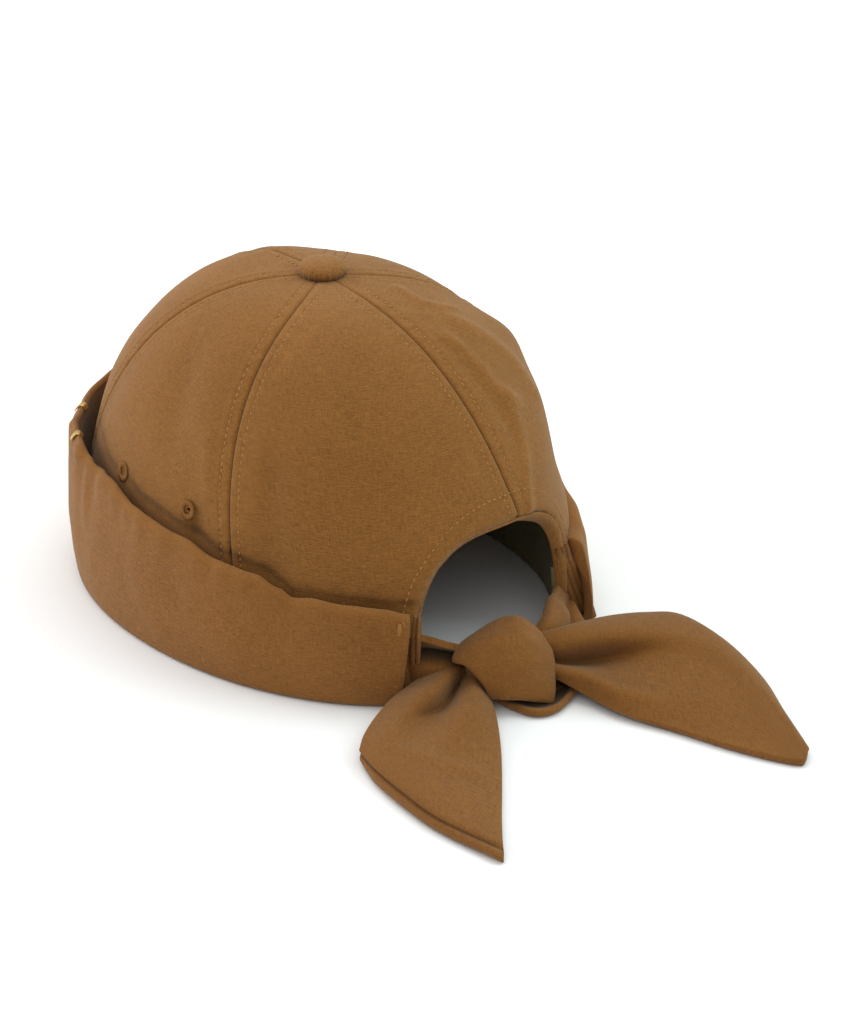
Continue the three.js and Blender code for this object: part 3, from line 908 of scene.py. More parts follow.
# Button
def make_button():
    low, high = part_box("crown_button")
    middle = ((low[0] + high[0]) / 2, (low[1] + high[1]) / 2)
    seat = CROWN_HEIGHT + 0.2
    profile = [(0.4, -0.6), (6.2, -0.5), (8.3, 0.1), (9.0, 1.2), (9.1, 2.2), (8.7, 3.3)]
    profile += [(7.7, 4.4), (6.2, 5.2), (4.4, 5.7), (2.4, 5.95), (0.9, 6.0)]
    bm = bmesh.new()
    verts = [bm.verts.new((radius * 0.001, 0, height * 0.001)) for radius, height in profile]
    edges = [bm.edges.new(pair) for pair in zip(verts, verts[1:])]
    bmesh.ops.spin(
        bm, geom=verts + edges, cent=(0, 0, 0), axis=(0, 0, 1), angle=2 * math.pi, steps=48, use_merge=True
    )
    bmesh.ops.holes_fill(bm, edges=bm.edges, sides=0)
    bmesh.ops.remove_doubles(bm, verts=bm.verts, dist=0.00002)
    bmesh.ops.subdivide_edges(bm, edges=bm.edges, cuts=1, use_grid_fill=True, smooth=0.6)
    uv = bm.loops.layers.uv.new("cloth")
    painted_shading = bm.verts.layers.float.new("painted_shading")
    for face in bm.faces:
        for loop in face.loops:
            loop[uv].uv = (loop.vert.co.x, loop.vert.co.y)
    for vert in bm.verts:
        turn = math.atan2(vert.co.y, vert.co.x)
        radius = math.hypot(vert.co.x, vert.co.y) * 1000
        height = vert.co.z * 1000
        low_part = 1 - ease(height, 0.5, 3)
        gather = 1 + low_part * 0.018 * math.cos(turn * 22) * ease(radius, 5, 8)
        # Painted highlight on the dome's top and painted shade round its gathered foot.
        vert[painted_shading] = 0.35 * ease(height, 3, 6) - 0.6 * low_part
        vert.co.x = vert.co.x * gather + middle[0]
        vert.co.y = vert.co.y * gather + middle[1]
        vert.co.z += seat * 0.001
    bmesh.ops.recalc_face_normals(bm, faces=bm.faces)
    add_piece("button_cloth_cover", bm, button_cloth, "button_cloth", "crown_button")


# Eyelets
def crown_spot(panels, turn, rise):
    for panel in panels:
        first, last = seam_turn(panel[0], rise), seam_turn(panel[1], rise)
        for about in (turn, turn + 360):
            if first < about < last:
                return panel_face(panel, (about - first) / (last - first), rise, False)[0]
    return crown_base(turn, rise)


def make_eyelet(panels, name, turn):
    rise = rise_at(EYELET_HEIGHT)
    middle = crown_spot(panels, turn, rise)
    normal = crown_normal(turn, rise)
    up = (Vector((0, 0, 1)) - normal * normal.z).normalized()
    side = up.cross(normal)
    bm = bmesh.new()
    ring = EYELET_RADIUS - EYELET_THREAD / 2
    for i in range(EYELET_THREADS):
        angle = i / EYELET_THREADS * 2 * math.pi
        out = side * math.cos(angle) + up * math.sin(angle)
        uneven = 1 + 0.08 * math.sin(i * 2.4) + 0.06 * math.sin(i * 5.1)
        add_stitch(
            bm, middle + out * ring + normal * 0.1, out, normal,
            length=EYELET_THREAD * uneven, width=0.85, height=0.75,
        )
    add_piece(name + "_thread", bm, eyelet_thread, "eyelet_thread", name)


# Cuff
def cuff_height(turn):
    about = turn + 360 if turn < 0 else turn
    if about <= CUFF_RISES[0][0]:
        return mix(CUFF_BACK_HEIGHT, CUFF_FRONT_HEIGHT, CUFF_RISES[0][1])
    for (a, rise_a), (b, rise_b) in zip(CUFF_RISES, CUFF_RISES[1:]):
        if about <= b:
            rise = mix(rise_a, rise_b, ease(about, a, b))
            return mix(CUFF_BACK_HEIGHT, CUFF_FRONT_HEIGHT, rise)
    return mix(CUFF_BACK_HEIGHT, CUFF_FRONT_HEIGHT, CUFF_RISES[-1][1])


def cuff_lean(turn):
    for (a, lean_a), (b, lean_b) in zip(CUFF_LEANS, CUFF_LEANS[1:]):
        if turn <= b:
            return mix(lean_a, lean_b, ease(turn, a, b))
    return CUFF_LEANS[-1][1]


def turn_over(length):
    return math.degrees(length / headline(0))


def arch_foot(side):
    return math.degrees(math.asin((ARCH_SHIFT + side * ARCH_WIDTH / 2) / headline(0)))


CUFF_FROM = arch_foot(1) + turn_over(CUFF_SETBACK)
CUFF_TO = 360 + arch_foot(-1) - turn_over(CUFF_SETBACK)


def spline(points, share, closed=False):
    """A point of the smooth curve through a list of points."""
    count = len(points)
    if closed:
        place = (share % 1) * count
        i = min(int(place), count - 1)
        a, b, c, d = (points[(i + k) % count] for k in (-1, 0, 1, 2))
    else:
        place = min(max(share, 0), 1) * (count - 1)
        i = min(int(place), count - 2)
        a, b, c, d = (points[min(max(i + k, 0), count - 1)] for k in (-1, 0, 1, 2))
    f = place - i
    weights = (
        ((2 - f) * f - 1) * f / 2,
        ((3 * f - 5) * f * f + 2) / 2,
        ((4 - 3 * f) * f + 1) * f / 2,
        (f - 1) * f * f / 2,
    )
    return [sum(w * p[k] for w, p in zip(weights, (a, b, c, d))) for k in range(len(b))]


def cuff_section(top):
    bend = RIM_THICKNESS
    return [
        (-RIM_REACH, bend * 0.5),
        (-RIM_REACH + RIM_EDGE, 0.05),
        (CUFF_OUTER - bend * 1.2, 0.05),
        (CUFF_OUTER - bend * 0.3, bend * 0.2),
        (CUFF_OUTER + CUFF_BULGE * 0.2, bend * 0.8),
        (CUFF_OUTER + CUFF_BULGE * 0.7, top * 0.2),
        (CUFF_OUTER + CUFF_BULGE, top * 0.4),
        (CUFF_OUTER + CUFF_BULGE * 0.95, top * 0.6),
        (CUFF_OUTER + CUFF_BULGE * 0.75, top * 0.78),
        (CUFF_OUTER + CUFF_BULGE * 0.5, top - 3.8),
        (CUFF_OUTER - 0.1, top - 1.2),
        (CUFF_OUTER - 1.5, top),
        (CUFF_INNER - 0.2, top - 0.9),
        (CUFF_INNER - 0.1, top - 4),
        (CUFF_INNER + CUFF_BULGE * 0.9, top * 0.55),
        (CUFF_INNER + CUFF_BULGE * 0.5, top * 0.22),
        (CUFF_INNER - bend * 0.1, bend + 0.9),
        (CUFF_INNER - bend * 0.9, bend),
        (-RIM_REACH + RIM_EDGE, bend),
    ]


def cuff_face(share, around):
    turn = mix(CUFF_FROM, CUFF_TO, share)
    top = cuff_height(turn) - 1.6 * bump(share, 0.008)
    offset, z = spline(cuff_section(top), around, True)
    turn += turn_over(4.4) * (1 - z / top) * (1 - ease(share, 0, 0.12))
    x, y = direction(turn)
    outer = ease(offset, CUFF_INNER, CUFF_OUTER)
    lean = cuff_lean(turn) + CUFF_END_FILL * ease(turn, CUFF_TO - 30, CUFF_TO - 12) * (1 - outer)
    radius = headline(turn) + offset - lean * max(z / top, 0) ** 1.6
    place = Vector((x * radius, y * radius, z))
    up = z / top
    length = share * CUFF_CLOTH_LENGTH
    wave = 0.9 * soft_noise((length, z * 0.8, 5), 34) + 0.35 * soft_noise((length, z, 9), 11)
    gather = 0.5 * math.sin(length * 0.42 + 2 * math.sin(length * 0.09)) * ease(up, 0.72, 0.97)
    swell = (wave * ease(up, 0.04, 0.2) + gather * 0.5) * (0.4 + 0.6 * outer)
    swell += 0.9 * bump(turn - 124, 1.8) * ease(up, 0.45, 0.75)
    swell -= 0.9 * bump(turn - 120, 2) * ease(up, 0.6, 0.9)
    pinch = bump(turn - 129, 3.5)
    swell += (0.8 * bump(z - 56.5, 1.4) - 0.6 * bump(z - 53.5, 1.4)) * pinch
    splay = ease(turn, CUFF_TO - 30, CUFF_TO)
    swell += splay * mix(3.2, 0.6, up)
    place.x += x * swell
    place.y += y * swell
    place.z = max(z + 0.5 * soft_noise((length, 0, 2), 18) * up, 0.05)
    # Painted light and shade: lighter on the cuff's bulges, a painted highlight along its folded top edge
    # and painted shade where it meets the floor.
    painted_shading = 0.3 * wave + 0.5 * bump(up - 0.98, 0.03) - 0.4 * bump(up, 0.03)
    return place, painted_shading


def make_cuff():
    columns, rows = ((300, 104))

    def flat(share, around):
        return share * CUFF_CLOTH_LENGTH, around * CUFF_CLOTH_GIRTH

    bm = flat_grid(columns, rows)
    shape_grid(bm, cuff_face, flat)
    bmesh.ops.remove_doubles(bm, verts=bm.verts, dist=0.000005)
    open_edges = [edge for edge in bm.edges if edge.is_boundary]
    bmesh.ops.holes_fill(bm, edges=open_edges, sides=0)
    bmesh.ops.recalc_face_normals(bm, faces=bm.faces)
    add_piece("cuff_cloth", bm, cuff_cloth, "cuff_cloth", "cuff")


def make_bar_tack():
    """Close stitches that hold the cuff's left end."""
    bm = bmesh.new()
    for i in range(9):
        place, _ = cuff_face(0.0066, mix(0.43, 0.478, i / 8))
        out = Vector((place.x, place.y, 0)).normalized()
        add_stitch(bm, place, Vector((-out.y, out.x, 0)), out, length=2.0)
    place, _ = cuff_face(0.004, 0.487)
    add_stitch(bm, place, Vector((0.4, -0.3, 1)), Vector((0.3, 0.95, 0)), length=5, width=0.5)
    add_piece("cuff_bar_tack", bm, crown_thread, "cuff_cloth")


# Sweatband
def band_face(share, up):
    turn = mix(CUFF_FROM + turn_over(BAND_INSET), CUFF_TO - turn_over(BAND_INSET), share)
    foot = headline(turn) - RIM_REACH - 0.35
    top = BAND_LIFT + BAND_HEIGHT
    above = crown_base(turn, rise_at(top))
    head = math.hypot(above.x, above.y) - CROWN_WALL - BAND_STANDOFF
    x, y = direction(turn)
    z = mix(BAND_LIFT, top, up)
    length = share * BAND_LENGTH
    radius = mix(foot, head, up) - 0.45 * abs(soft_noise((length, z, 1), 22)) - 0.5 * bump(up - 0.5, 0.3)
    painted_shading = 0.5 * bump(up - 0.94, 0.02) + 0.5 * bump(up - 0.06, 0.02)
    return Vector((x * radius, y * radius, z)), painted_shading


def make_sweatband():
    bm = flat_grid(200, 24)
    shape_grid(bm, band_face, lambda share, up: (share * BAND_LENGTH, up * BAND_HEIGHT))
    face_away(bm, (0, 0, 20))
    piece = add_piece("sweatband_tape_band", bm, sweatband_tape, "sweatband_tape", "sweatband")
    add_wall(piece, BAND_WALL)
    rows = bmesh.new()
    for level in (0.1, 0.9):
        line = []
        for i in range(301):
            place, _ = band_face(mix(0.005, 0.995, i / 300), level)
            out = Vector((place.x, place.y, 0)).normalized()
            line.append((place - out * (BAND_WALL + 0.05), -out))
        stitch_line(rows, line)
    add_piece("sweatband_stitching", rows, crown_thread, "sweatband_tape")


# Clips
def make_clip(name, turn):
    """A strip of sheet bent over the cuff's edge, a little proud of its cloth."""
    share = (turn - CUFF_FROM) / (CUFF_TO - CUFF_FROM)
    x, y = direction(turn)
    side = Vector((y, -x, 0))
    count = len(cuff_section(1))

    def point(across, along):
        around = mix(CLIP_FROM, CLIP_TO, along) / count
        ahead = cuff_face(share, around + 0.003)[0] - cuff_face(share, around - 0.003)[0]
        out = ahead.cross(side).normalized()
        proud = 0.15 + 0.15 * (1 - (2 * across - 1) ** 2)
        return cuff_face(share, around)[0] + out * proud + side * (across - 0.5) * CLIP_WIDTH, 0

    bm = flat_grid(8, 40)
    shape_grid(bm, point, lambda across, along: (across * CLIP_WIDTH, along * 12))
    face_away(bm, (x * headline(turn), y * headline(turn), cuff_height(turn) - 6))
    piece = add_piece(name + "_brass", bm, clip_brass, "clip_brass", name)
    add_wall(piece, CLIP_SHEET, 1)
    edge = piece.modifiers.new("edge", "BEVEL")
    edge.width = 0.00012
    edge.segments = 2


# Nets: rows of points with a smooth surface through them
def net_point(net, across, along):
    return Vector(spline([spline(row, across) for row in net], along))


def net_normal(net, across, along):
    step = 0.01
    u0, u1 = max(across - step, 0), min(across + step, 1)
    w0, w1 = max(along - step, 0), min(along + step, 1)
    around = net_point(net, u1, along) - net_point(net, u0, along)
    forward = net_point(net, across, w1) - net_point(net, across, w0)
    return around.cross(forward).normalized()


def edge_spacing(share):
    return share - 0.11 * math.sin(2 * math.pi * share)


def line_length(line):
    return sum((Vector(b) - Vector(a)).length for a, b in zip(line, line[1:]))


def cushion(name, net, ply, relief, finish, slot, nodes, columns=70, rows=90, round_ends=(1, 1), tip=0):
    """Two plies of cloth with a rounded edge about the surface through a net, its last corner blunted."""
    corner = net_point(net, 1, 1)
    inward = (net_point(net, 0.6, 0.8) - corner).normalized()
    widths = [(line_length(row),) for row in net]
    length = line_length([row[len(row) // 2] for row in net])
    front = math.copysign(1, net_normal(net, 0.5, 0.5).dot(SIGHT))
    both = bmesh.new()
    for side in (1, -1):
        bm = flat_grid(columns, rows, edge_spacing, edge_spacing)

        def point(across, along):
            gap = min(across, 1 - across) * spline(widths, along)[0]
            if round_ends[0]:
                gap = min(gap, along * length)
            if round_ends[1]:
                gap = min(gap, (1 - along) * length)
            edge = math.sqrt(max(1 - (1 - min(gap / (ply * 1.1), 1)) ** 2, 0))
            # relief gives the upper ply's raise and the light and shade painted on it.
            raise_by, painted_shading = relief(across, along) if side > 0 else (0, 0)
            half = (ply * side + raise_by) * edge * front
            place = net_point(net, across, along)
            if tip:
                far = min((place - corner).length / (tip * 2.2), 1)
                place = place + inward * (tip * (1 - far) ** 2)
            return place + net_normal(net, across, along) * half, painted_shading

        shape_grid(
            bm, point, lambda across, along: ((across - 0.5) * spline(widths, along)[0], along * length)
        )
        if side < 0:
            bmesh.ops.reverse_faces(bm, faces=bm.faces)
        part = bpy.data.meshes.new("part")
        bm.to_mesh(part)
        bm.free()
        both.from_mesh(part)
        bpy.data.meshes.remove(part)
    bmesh.ops.remove_doubles(both, verts=both.verts, dist=0.00001)
    for vert in both.verts:
        vert.co.z = max(vert.co.z, 0.00005)
    bmesh.ops.recalc_face_normals(both, faces=both.faces)
    return add_piece(name, both, finish, slot, *nodes)


# Rows run from the knot to the slanted end, points from the tail's short edge to its long edge
LEFT_TAIL = [
    [(11.0, 90.8, 9.0), (12.4, 94.4, 9.6), (12.4, 96.6, 9.0), (12.2, 100.5, 8.6), (11.6, 105.1, 5.0)],
    [(20.9, 92.7, 8.2), (22.9, 98.2, 10.6), (21.5, 99.4, 8.1), (26.2, 108.7, 9.9), (25.3, 113.4, 4.6)],
    [(30.5, 92.1, 8.1), (35.7, 102.9, 12.2), (31.3, 103.7, 6.1), (36.1, 117.1, 10.6), (29.5, 119.8, 4.1)],
    [(42.4, 92.3, 7.0), (49.0, 107.3, 12.5), (43.7, 109.2, 5.8), (48.0, 125.1, 10.5), (36.2, 129.0, 3.2)],
    [(55.4, 94.4, 6.0), (60.3, 108.3, 10.5), (56.0, 113.5, 6.0), (58.9, 131.1, 8.5), (47.1, 141.7, 2.4)],
    [(69.6, 100.0, 5.5), (73.4, 113.3, 9.0), (72.0, 123.0, 7.2), (70.8, 139.2, 6.8), (62.3, 157.3, 2.2)],
    [(79.7, 105.5, 5.0), (84.0, 118.8, 6.8), (85.3, 133.7, 6.5), (85.2, 152.4, 5.8), (79.4, 174.1, 2.2)],
    [(84.9, 110.1, 4.4), (89.9, 124.0, 4.8), (94.0, 143.3, 4.6), (96.0, 161.9, 4.2), (92.3, 187.7, 2.6)],
    [(85.0, 112.6, 1.5), (91.5, 127.3, 1.4), (95.2, 145.2, 1.4), (96.8, 162.4, 1.4), (96.2, 194.0, 1.3)],
]

LEFT_TAIL_SEAM = 7 / 8

RIGHT_TAIL = [
    [(-3, 105, 12), (-1.5, 113.5, 19.0), (0.4, 116.3, 17.5),
     (-0.9, 114.8, 11.0), (1.2, 116.8, 10.5), (0.9, 116.6, 7.0)],
    [(-12, 108, 8), (-8.9, 116.5, 19.4), (-4.3, 120.9, 18.5),
     (-4.8, 119.7, 9.5), (0.3, 124.5, 10.5), (0.3, 125.1, 7.0)],
    [(-25, 108, 5), (-21.6, 116.1, 17.0), (-13.5, 125.8, 18.8),
     (-16.2, 124.6, 7.0), (-4.8, 134.2, 9.5), (-2.3, 138.2, 3.4)],
    [(-43, 109, 3), (-35.7, 117.7, 15.0), (-24.3, 130.6, 17.8),
     (-25.5, 131.9, 8.0), (-8.2, 146.9, 8.0), (-3.4, 154.9, 2.0)],
    [(-57, 114, 2.4), (-47.9, 123.2, 14.0), (-36.7, 136.7, 16.2),
     (-33.6, 143.7, 10.0), (-17.8, 162.0, 6.2), (-8.7, 174.3, 1.8)],
    [(-67, 123, 2.4), (-57.6, 132.4, 13.0), (-47.8, 146.5, 13.8),
     (-40.7, 157.9, 10.0), (-25.4, 176.4, 6.2), (-13.3, 194.2, 1.8)],
    [(-65, 147, 2.4), (-57.9, 152.4, 10.5), (-49.0, 164.6, 11.5),
     (-40.1, 177.2, 8.5), (-29.2, 191.1, 5.0), (-17.7, 208.1, 1.8)],
    [(-57, 172, 2.2), (-51.6, 174.5, 7.5), (-42.8, 185.8, 8.3),
     (-35.5, 195.4, 6.3), (-27.8, 206.3, 3.8), (-20.9, 215.4, 1.6)],
    [(-43, 195, 2.0), (-40.0, 197.2, 4.8), (-36.0, 202.9, 5.4),
     (-32.2, 207.6, 4.4), (-27.9, 212.2, 3.0), (-21.7, 218.8, 1.5)],
    [(-31, 216, 1.5), (-30.1, 216.7, 2.4), (-28.2, 218.6, 2.4),
     (-25.8, 220.2, 2.0), (-23.8, 221.3, 1.7), (-21.6, 221.6, 1.3)],
]


def left_tail_relief(across, along):
    from_seam = along - LEFT_TAIL_SEAM
    gap = from_seam * (END_BAND_LENGTH if from_seam > 0 else LEFT_TAIL_LENGTH)
    side = min(across, 1 - across) * TAIL_WIDTH
    wave = 0.5 * math.sin(across * 9 + along * 5) * math.sin(along * math.pi)
    crease = 0.7 * bump(along - 0.734 + 0.125 * across, 0.02)
    crease *= ease(across, 0.3, 0.45) * (1 - ease(across, 0.8, 0.95))
    middle = 0.46 + 0.06 * bump(along - 0.35, 0.12) - 0.2 * ease(along, 0.42, 0.62)
    valley = bump(across - middle, 0.07) * (1 - ease(along, 0.36, 0.58))
    relief = -1.1 * bump(gap, 0.8) + wave * 0.4 + crease - 1.5 * valley
    # Painted light and shade: painted shade along the end seam's groove, a lighter strip along the rounded
    # edges, a painted highlight on the crease and painted shade in the valley.
    return relief, -1.1 * bump(gap, 0.7) + 0.3 * bump(side - 1.5, 1.5) + 0.4 * crease - 0.75 * valley


def right_tail_relief(across, along):
    side = min(across, 1 - across) * TAIL_WIDTH
    wave = 0.35 * math.sin(across * 8 - along * 6) * math.sin(along * math.pi)
    valley = bump(across - 0.62, 0.1) * (1 - ease(along, 0.14, 0.42))
    crest = bump(across - 0.83, 0.035) * (1 - ease(along, 0.38, 0.46))
    under = bump(across - 0.77, 0.03) * (1 - ease(along, 0.36, 0.44))
    relief = wave - 1.2 * valley + 0.9 * crest
    # Painted light and shade: a lighter strip along the rounded edges, painted shade in the valley and under
    # the crest, and a painted highlight on the crest.
    return relief, 0.3 * bump(side - 1.5, 1.5) - 0.9 * valley + 0.5 * crest - 0.5 * under


def make_tails():
    left = cushion(
        "tie_tail_left_cloth", LEFT_TAIL, TAIL_PLY, left_tail_relief,
        tie_cloth, "tie_cloth", ["tie_tail_left"], round_ends=(0, 1), tip=LEFT_TIP,
    )
    right = cushion(
        "tie_tail_right_cloth", RIGHT_TAIL, TAIL_PLY, right_tail_relief,
        tie_cloth, "tie_cloth", ["tie_tail_right"], round_ends=(0, 1), tip=RIGHT_TIP,
    )


# Knot: rightwards, upwards and forwards as the camera sees it, from the knot's middle
KNOT_MIDDLE = Vector((13, 108, 14))
SIGHT = Vector((0.6231, 0.6406, 0.4488)).normalized()
SIGHT_RIGHT = Vector((-SIGHT.y, SIGHT.x, 0)).normalized()
SIGHT_UP = SIGHT.cross(SIGHT_RIGHT)

KNOT_WRAP = [
    [(-8, 3, -13), (-8, 5, -13), (-5, 8, -14), (0, 10, -15), (6, 9, -15), (11, 6, -14), (11, 3, -13)],
    [(-12, 2, -8), (-13, 4, -7), (-8, 9, -6), (1, 13.5, -5), (9, 12.5, -6), (15, 7, -7), (13, 4, -9)],
    [(-13, 0.5, 1), (-16.1, 3.3, 3), (-11, 7.3, 4), (-1, 13.2, 2),
     (8, 14.1, 1.5), (17.5, 5.2, -1), (15, 3, -5)],
    [(-13.5, -2.0, 5), (-17.9, -1.0, 9), (-10, 4.4, 11.5), (0, 8, 11.5),
     (10, 7.5, 9.5), (18.9, 1, 2), (16, 0, -3)],
    [(-10, -3.2, 8), (-13.6, -2.6, 13.2), (-7, 0, 14.8), (2, 1.5, 15),
     (11, 0, 12.4), (19.3, -4, 3.5), (16.5, -5, -2)],
    [(-7, -6.6, 10), (-9.8, -6, 15), (-4, -5.4, 16.4), (3.5, -5, 16.2),
     (12, -6, 12.8), (19.6, -9, 4.2), (16.5, -9, -1)],
    [(-3.4, -10.4, 10), (-6.6, -10.2, 15.4), (-2, -10.6, 16.4), (5, -10.8, 15.2),
     (12.5, -11.4, 11.8), (19.4, -13, 5), (16.5, -12.5, 0)],
    [(-2, -13, 9), (-4.6, -14.2, 13), (0, -14.6, 13.8), (6, -14.8, 12.8),
     (12.5, -15.7, 10), (18.6, -16.5, 5.6), (16.5, -14.5, 0)],
    [(-1, -12.4, 6), (-2.6, -13.2, 9), (1, -13.6, 9.4), (6, -13.8, 8.4),
     (12, -14.6, 6), (17, -15, 2), (16, -13.6, -2)],
]


def seen(point, middle=KNOT_MIDDLE):
    right, up, forward = point
    return middle + SIGHT_RIGHT * right + SIGHT_UP * up + SIGHT * forward


def make_knot():
    net = [[seen(point) for point in row] for row in KNOT_WRAP]

    def point(across, along):
        place = net_point(net, across, along)
        wave = 0.35 * soft_noise(place, 9, 2.2) + 0.2 * math.sin(along * 17 + across * 4)
        place += net_normal(net, across, along) * wave * ease(min(across, 1 - across), 0.05, 0.3)
        place.z = max(place.z, 1.8)
        # Painted light and shade: lighter on the wrap's bulges, darker in its dips.
        return place, 0.5 * wave

    bm = flat_grid(64, 80)
    shape_grid(bm, point, lambda across, along: (across * 50, along * 62))
    face_away(bm, KNOT_MIDDLE)
    piece = add_piece("tie_knot_wrap", bm, tie_cloth, "tie_cloth", "tie_knot")
    add_wall(piece, KNOT_WALL)
    core = bmesh.new()
    bmesh.ops.create_uvsphere(core, u_segments=40, v_segments=24, radius=1)
    uv = core.loops.layers.uv.new("cloth")
    for face in core.faces:
        for loop in face.loops:
            loop[uv].uv = (loop.vert.co.x * 0.02, loop.vert.co.z * 0.02)
    for vert in core.verts:
        x, y, z = vert.co
        fold = 1 + 0.05 * math.sin(6 * x + 4 * z)
        vert.co = metres(KNOT_MIDDLE + Vector((x * 16 * fold, y * 11 * fold, z * 12 - 0.6)))
        vert.co.z = max(vert.co.z, 0.0006)
    add_piece("tie_knot_core", core, tie_cloth, "tie_cloth")


# Folded end under the knot: rows from under the knot, over the floor and up to the open rim
FOLD_LIP = [
    [(-4, -12.5, -4.4), (3, -13.5, -2.3), (10, -14, -1.3), (17, -13.5, -2.3), (20, -10, -9)],
    [(-2, -15.4, 1.3), (4, -18, 6.4), (12, -20.2, 10.8), (20, -18.6, 7.6), (27, -12.4, -4.7)],
    [(-2.4, -14.2, 3.6), (3.6, -16.9, 8.8), (12, -19.0, 13), (20.5, -17.4, 10), (27.4, -11.4, -1.9)],
    [(-3, -13.8, -0.5), (3.6, -16.2, 4), (12, -18.3, 8.4), (20, -16.7, 5.2), (25.6, -11, -7)],
    [(-4, -12.4, -4), (3, -14, -1), (11, -15.6, 1.5), (18, -14, -1.5), (22, -9.6, -11)],
]


def make_fold():
    net = [[seen(point) for point in row] for row in FOLD_LIP]

    def point(across, along):
        place = net_point(net, across, along)
        place.z = max(place.z, 0.8)
        # Painted highlight along the lip's rim and painted shade inside the loop.
        return place, 0.6 * bump(along - 0.5, 0.1) - 1.6 * ease(along, 0.58, 0.7)

    bm = flat_grid(50, 40)
    shape_grid(bm, point, lambda across, along: (across * 32, along * 24))
    face_away(bm, seen((12, -12, 3)))
    piece = add_piece("tie_fold_cloth", bm, tie_cloth, "tie_cloth", "tie_fold")
    add_wall(piece, FOLD_WALL, 0)


# Straps from the arch's feet to the knot: points across the cloth from its upper to its lower edge
STRAP_LEFT = [
    [(43.1, 88.9, 27.7), (41.9, 87.7, 24.0), (38.4, 84.1, 18.4), (41.2, 86.9, 15.5), (40.6, 86.1, 5.0)],
    [(36.2, 90.1, 24.1), (34.6, 89.4, 21.1), (30.2, 86.6, 15.4), (38.4, 91.4, 14.4), (38.8, 91.7, 4.0)],
    [(31.5, 94.6, 21.9), (29.5, 93.2, 18.8), (25.6, 89.7, 14.2), (34.2, 95.7, 13.8), (35.4, 97.0, 4.0)],
    [(26.4, 98.5, 19.6), (24.8, 97.0, 17.0), (21.0, 93.2, 12.8), (29.2, 99.4, 12.6), (30.4, 100.3, 4.5)],
    [(19.8, 101.7, 17.0), (19.0, 100.8, 15.0), (17.5, 99.6, 12.0),
     (19.5, 100.5, 9.2), (22.5, 102.6, 5.0)],
]

STRAP_RIGHT = [
    [(-37.5, 87.9, 17.0), (-35.0, 90.7, 18.5), (-36.4, 91.5, 16.5),
     (-39.1, 90.8, 12.0), (-40.1, 90.2, 6.0)],
    [(-30.2, 93.7, 18.0), (-26.6, 97.2, 19.5), (-27.7, 98.1, 17.5),
     (-31.6, 96.2, 12.5), (-33.9, 95.3, 6.0)],
    [(-21.6, 99.2, 20.5), (-18.6, 103.6, 22.0), (-21.7, 106.3, 18.5),
     (-26.1, 103.4, 12.5), (-28.3, 101.4, 7.0)],
    [(-10.5, 106.8, 20.5), (-8.4, 111.8, 21.5), (-15.5, 111.8, 16.0),
     (-18.7, 109.4, 11.0), (-20.4, 107.4, 7.0)],
    [(-2.7, 109.3, 18.5), (-2.1, 113.0, 18.5), (-6.5, 114.0, 14.5),
     (-10.3, 111.4, 10.0), (-11.0, 109.8, 7.0)],
]

# Second ply under the right strap
STRAP_UNDER = [
    [(-40, 90, 12), (-38, 94, 12.5), (-37.4, 97.4, 12)],
    [(-31, 96, 12), (-32.5, 100, 11.5), (-34.6, 105, 9)],
    [(-24, 104, 10), (-28, 106.5, 9.5), (-34, 108.6, 7.6)],
]

# Rolled hems at the cuff's right end: points down the middle of each, from under the crown's hem to the
# floor, and its radius
END_ROLLS = [
    ([(-31.2, 93.6, 37), (-35.0, 91.6, 28), (-38.6, 91.4, 19), (-42.4, 91.9, 10), (-45.4, 92.5, 1.5)], 1.6),
    ([(-33.4, 93.6, 37), (-37.4, 91.8, 28), (-41.2, 91.9, 19), (-45.2, 92.7, 10), (-47.8, 93.8, 1.5)], 1.6),
    ([(-35.6, 93.2, 37), (-39.8, 91.8, 28), (-43.9, 92.2, 19), (-47.8, 93.1, 10), (-50.0, 94.7, 1.5)], 1.8),
    ([(42.6, 94.0, 36.0), (41.9, 92.4, 27.0), (40.3, 89.9, 14.0), (39.4, 87.1, 1.5)], 1.1),
    ([(42.2, 95.7, 38.0), (42.0, 94.9, 28.0), (39.2, 91.4, 15.0), (36.6, 87.3, 1.5)], 0.9),
]


def make_strap(name, net, *nodes):
    def relief(across, along):
        start = mix(0.42, 0.13, ease(along, 0.2, 0.7))
        hollow = ease(across, start - 0.06, start + 0.04) * (1 - ease(across, 0.7, 0.82))
        if net is not STRAP_LEFT:
            hollow = 0
        # The strap's colour a little darker all over, and painted shade in the hollow below the left strap's
        # upper band.
        return 0.35 * math.sin(across * 11 + along * 2), -0.15 - 1.2 * hollow

    cushion(
        name, net, STRAP_PLY, relief, tie_cloth, "tie_cloth", nodes,
        columns=40, rows=44, round_ends=(0, 0),
    )


def make_roll(name, path, radius):
    def point(around, along):
        step = 0.02
        middle = Vector(spline(path, along))
        sight = Vector(spline(path, along + step)) - Vector(spline(path, along - step))
        side = sight.cross(SIGHT).normalized()
        out = side.cross(sight).normalized()
        angle = around * 2 * math.pi
        wave = 1 + 0.1 * soft_noise((along * 40, around, 3), 6)
        width = radius * wave * (0.65 + 0.35 * ease(along, 0, 0.3))
        place = middle + (side * math.cos(angle) + out * math.sin(angle)) * width
        place.z = max(place.z, 0.05)
        # Painted highlight on each roll's front and painted shade at its sides, where the rolls meet.
        return place, 0.35 - 1.9 * abs(math.cos(angle)) ** 2.4

    bm = flat_grid(20, 50)
    shape_grid(bm, point, lambda around, along: (around * radius * 6, along * 38))
    bmesh.ops.remove_doubles(bm, verts=bm.verts, dist=0.000005)
    bmesh.ops.holes_fill(bm, edges=[edge for edge in bm.edges if edge.is_boundary], sides=0)
    bmesh.ops.recalc_face_normals(bm, faces=bm.faces)
    add_piece(name, bm, cuff_cloth, "cuff_cloth")


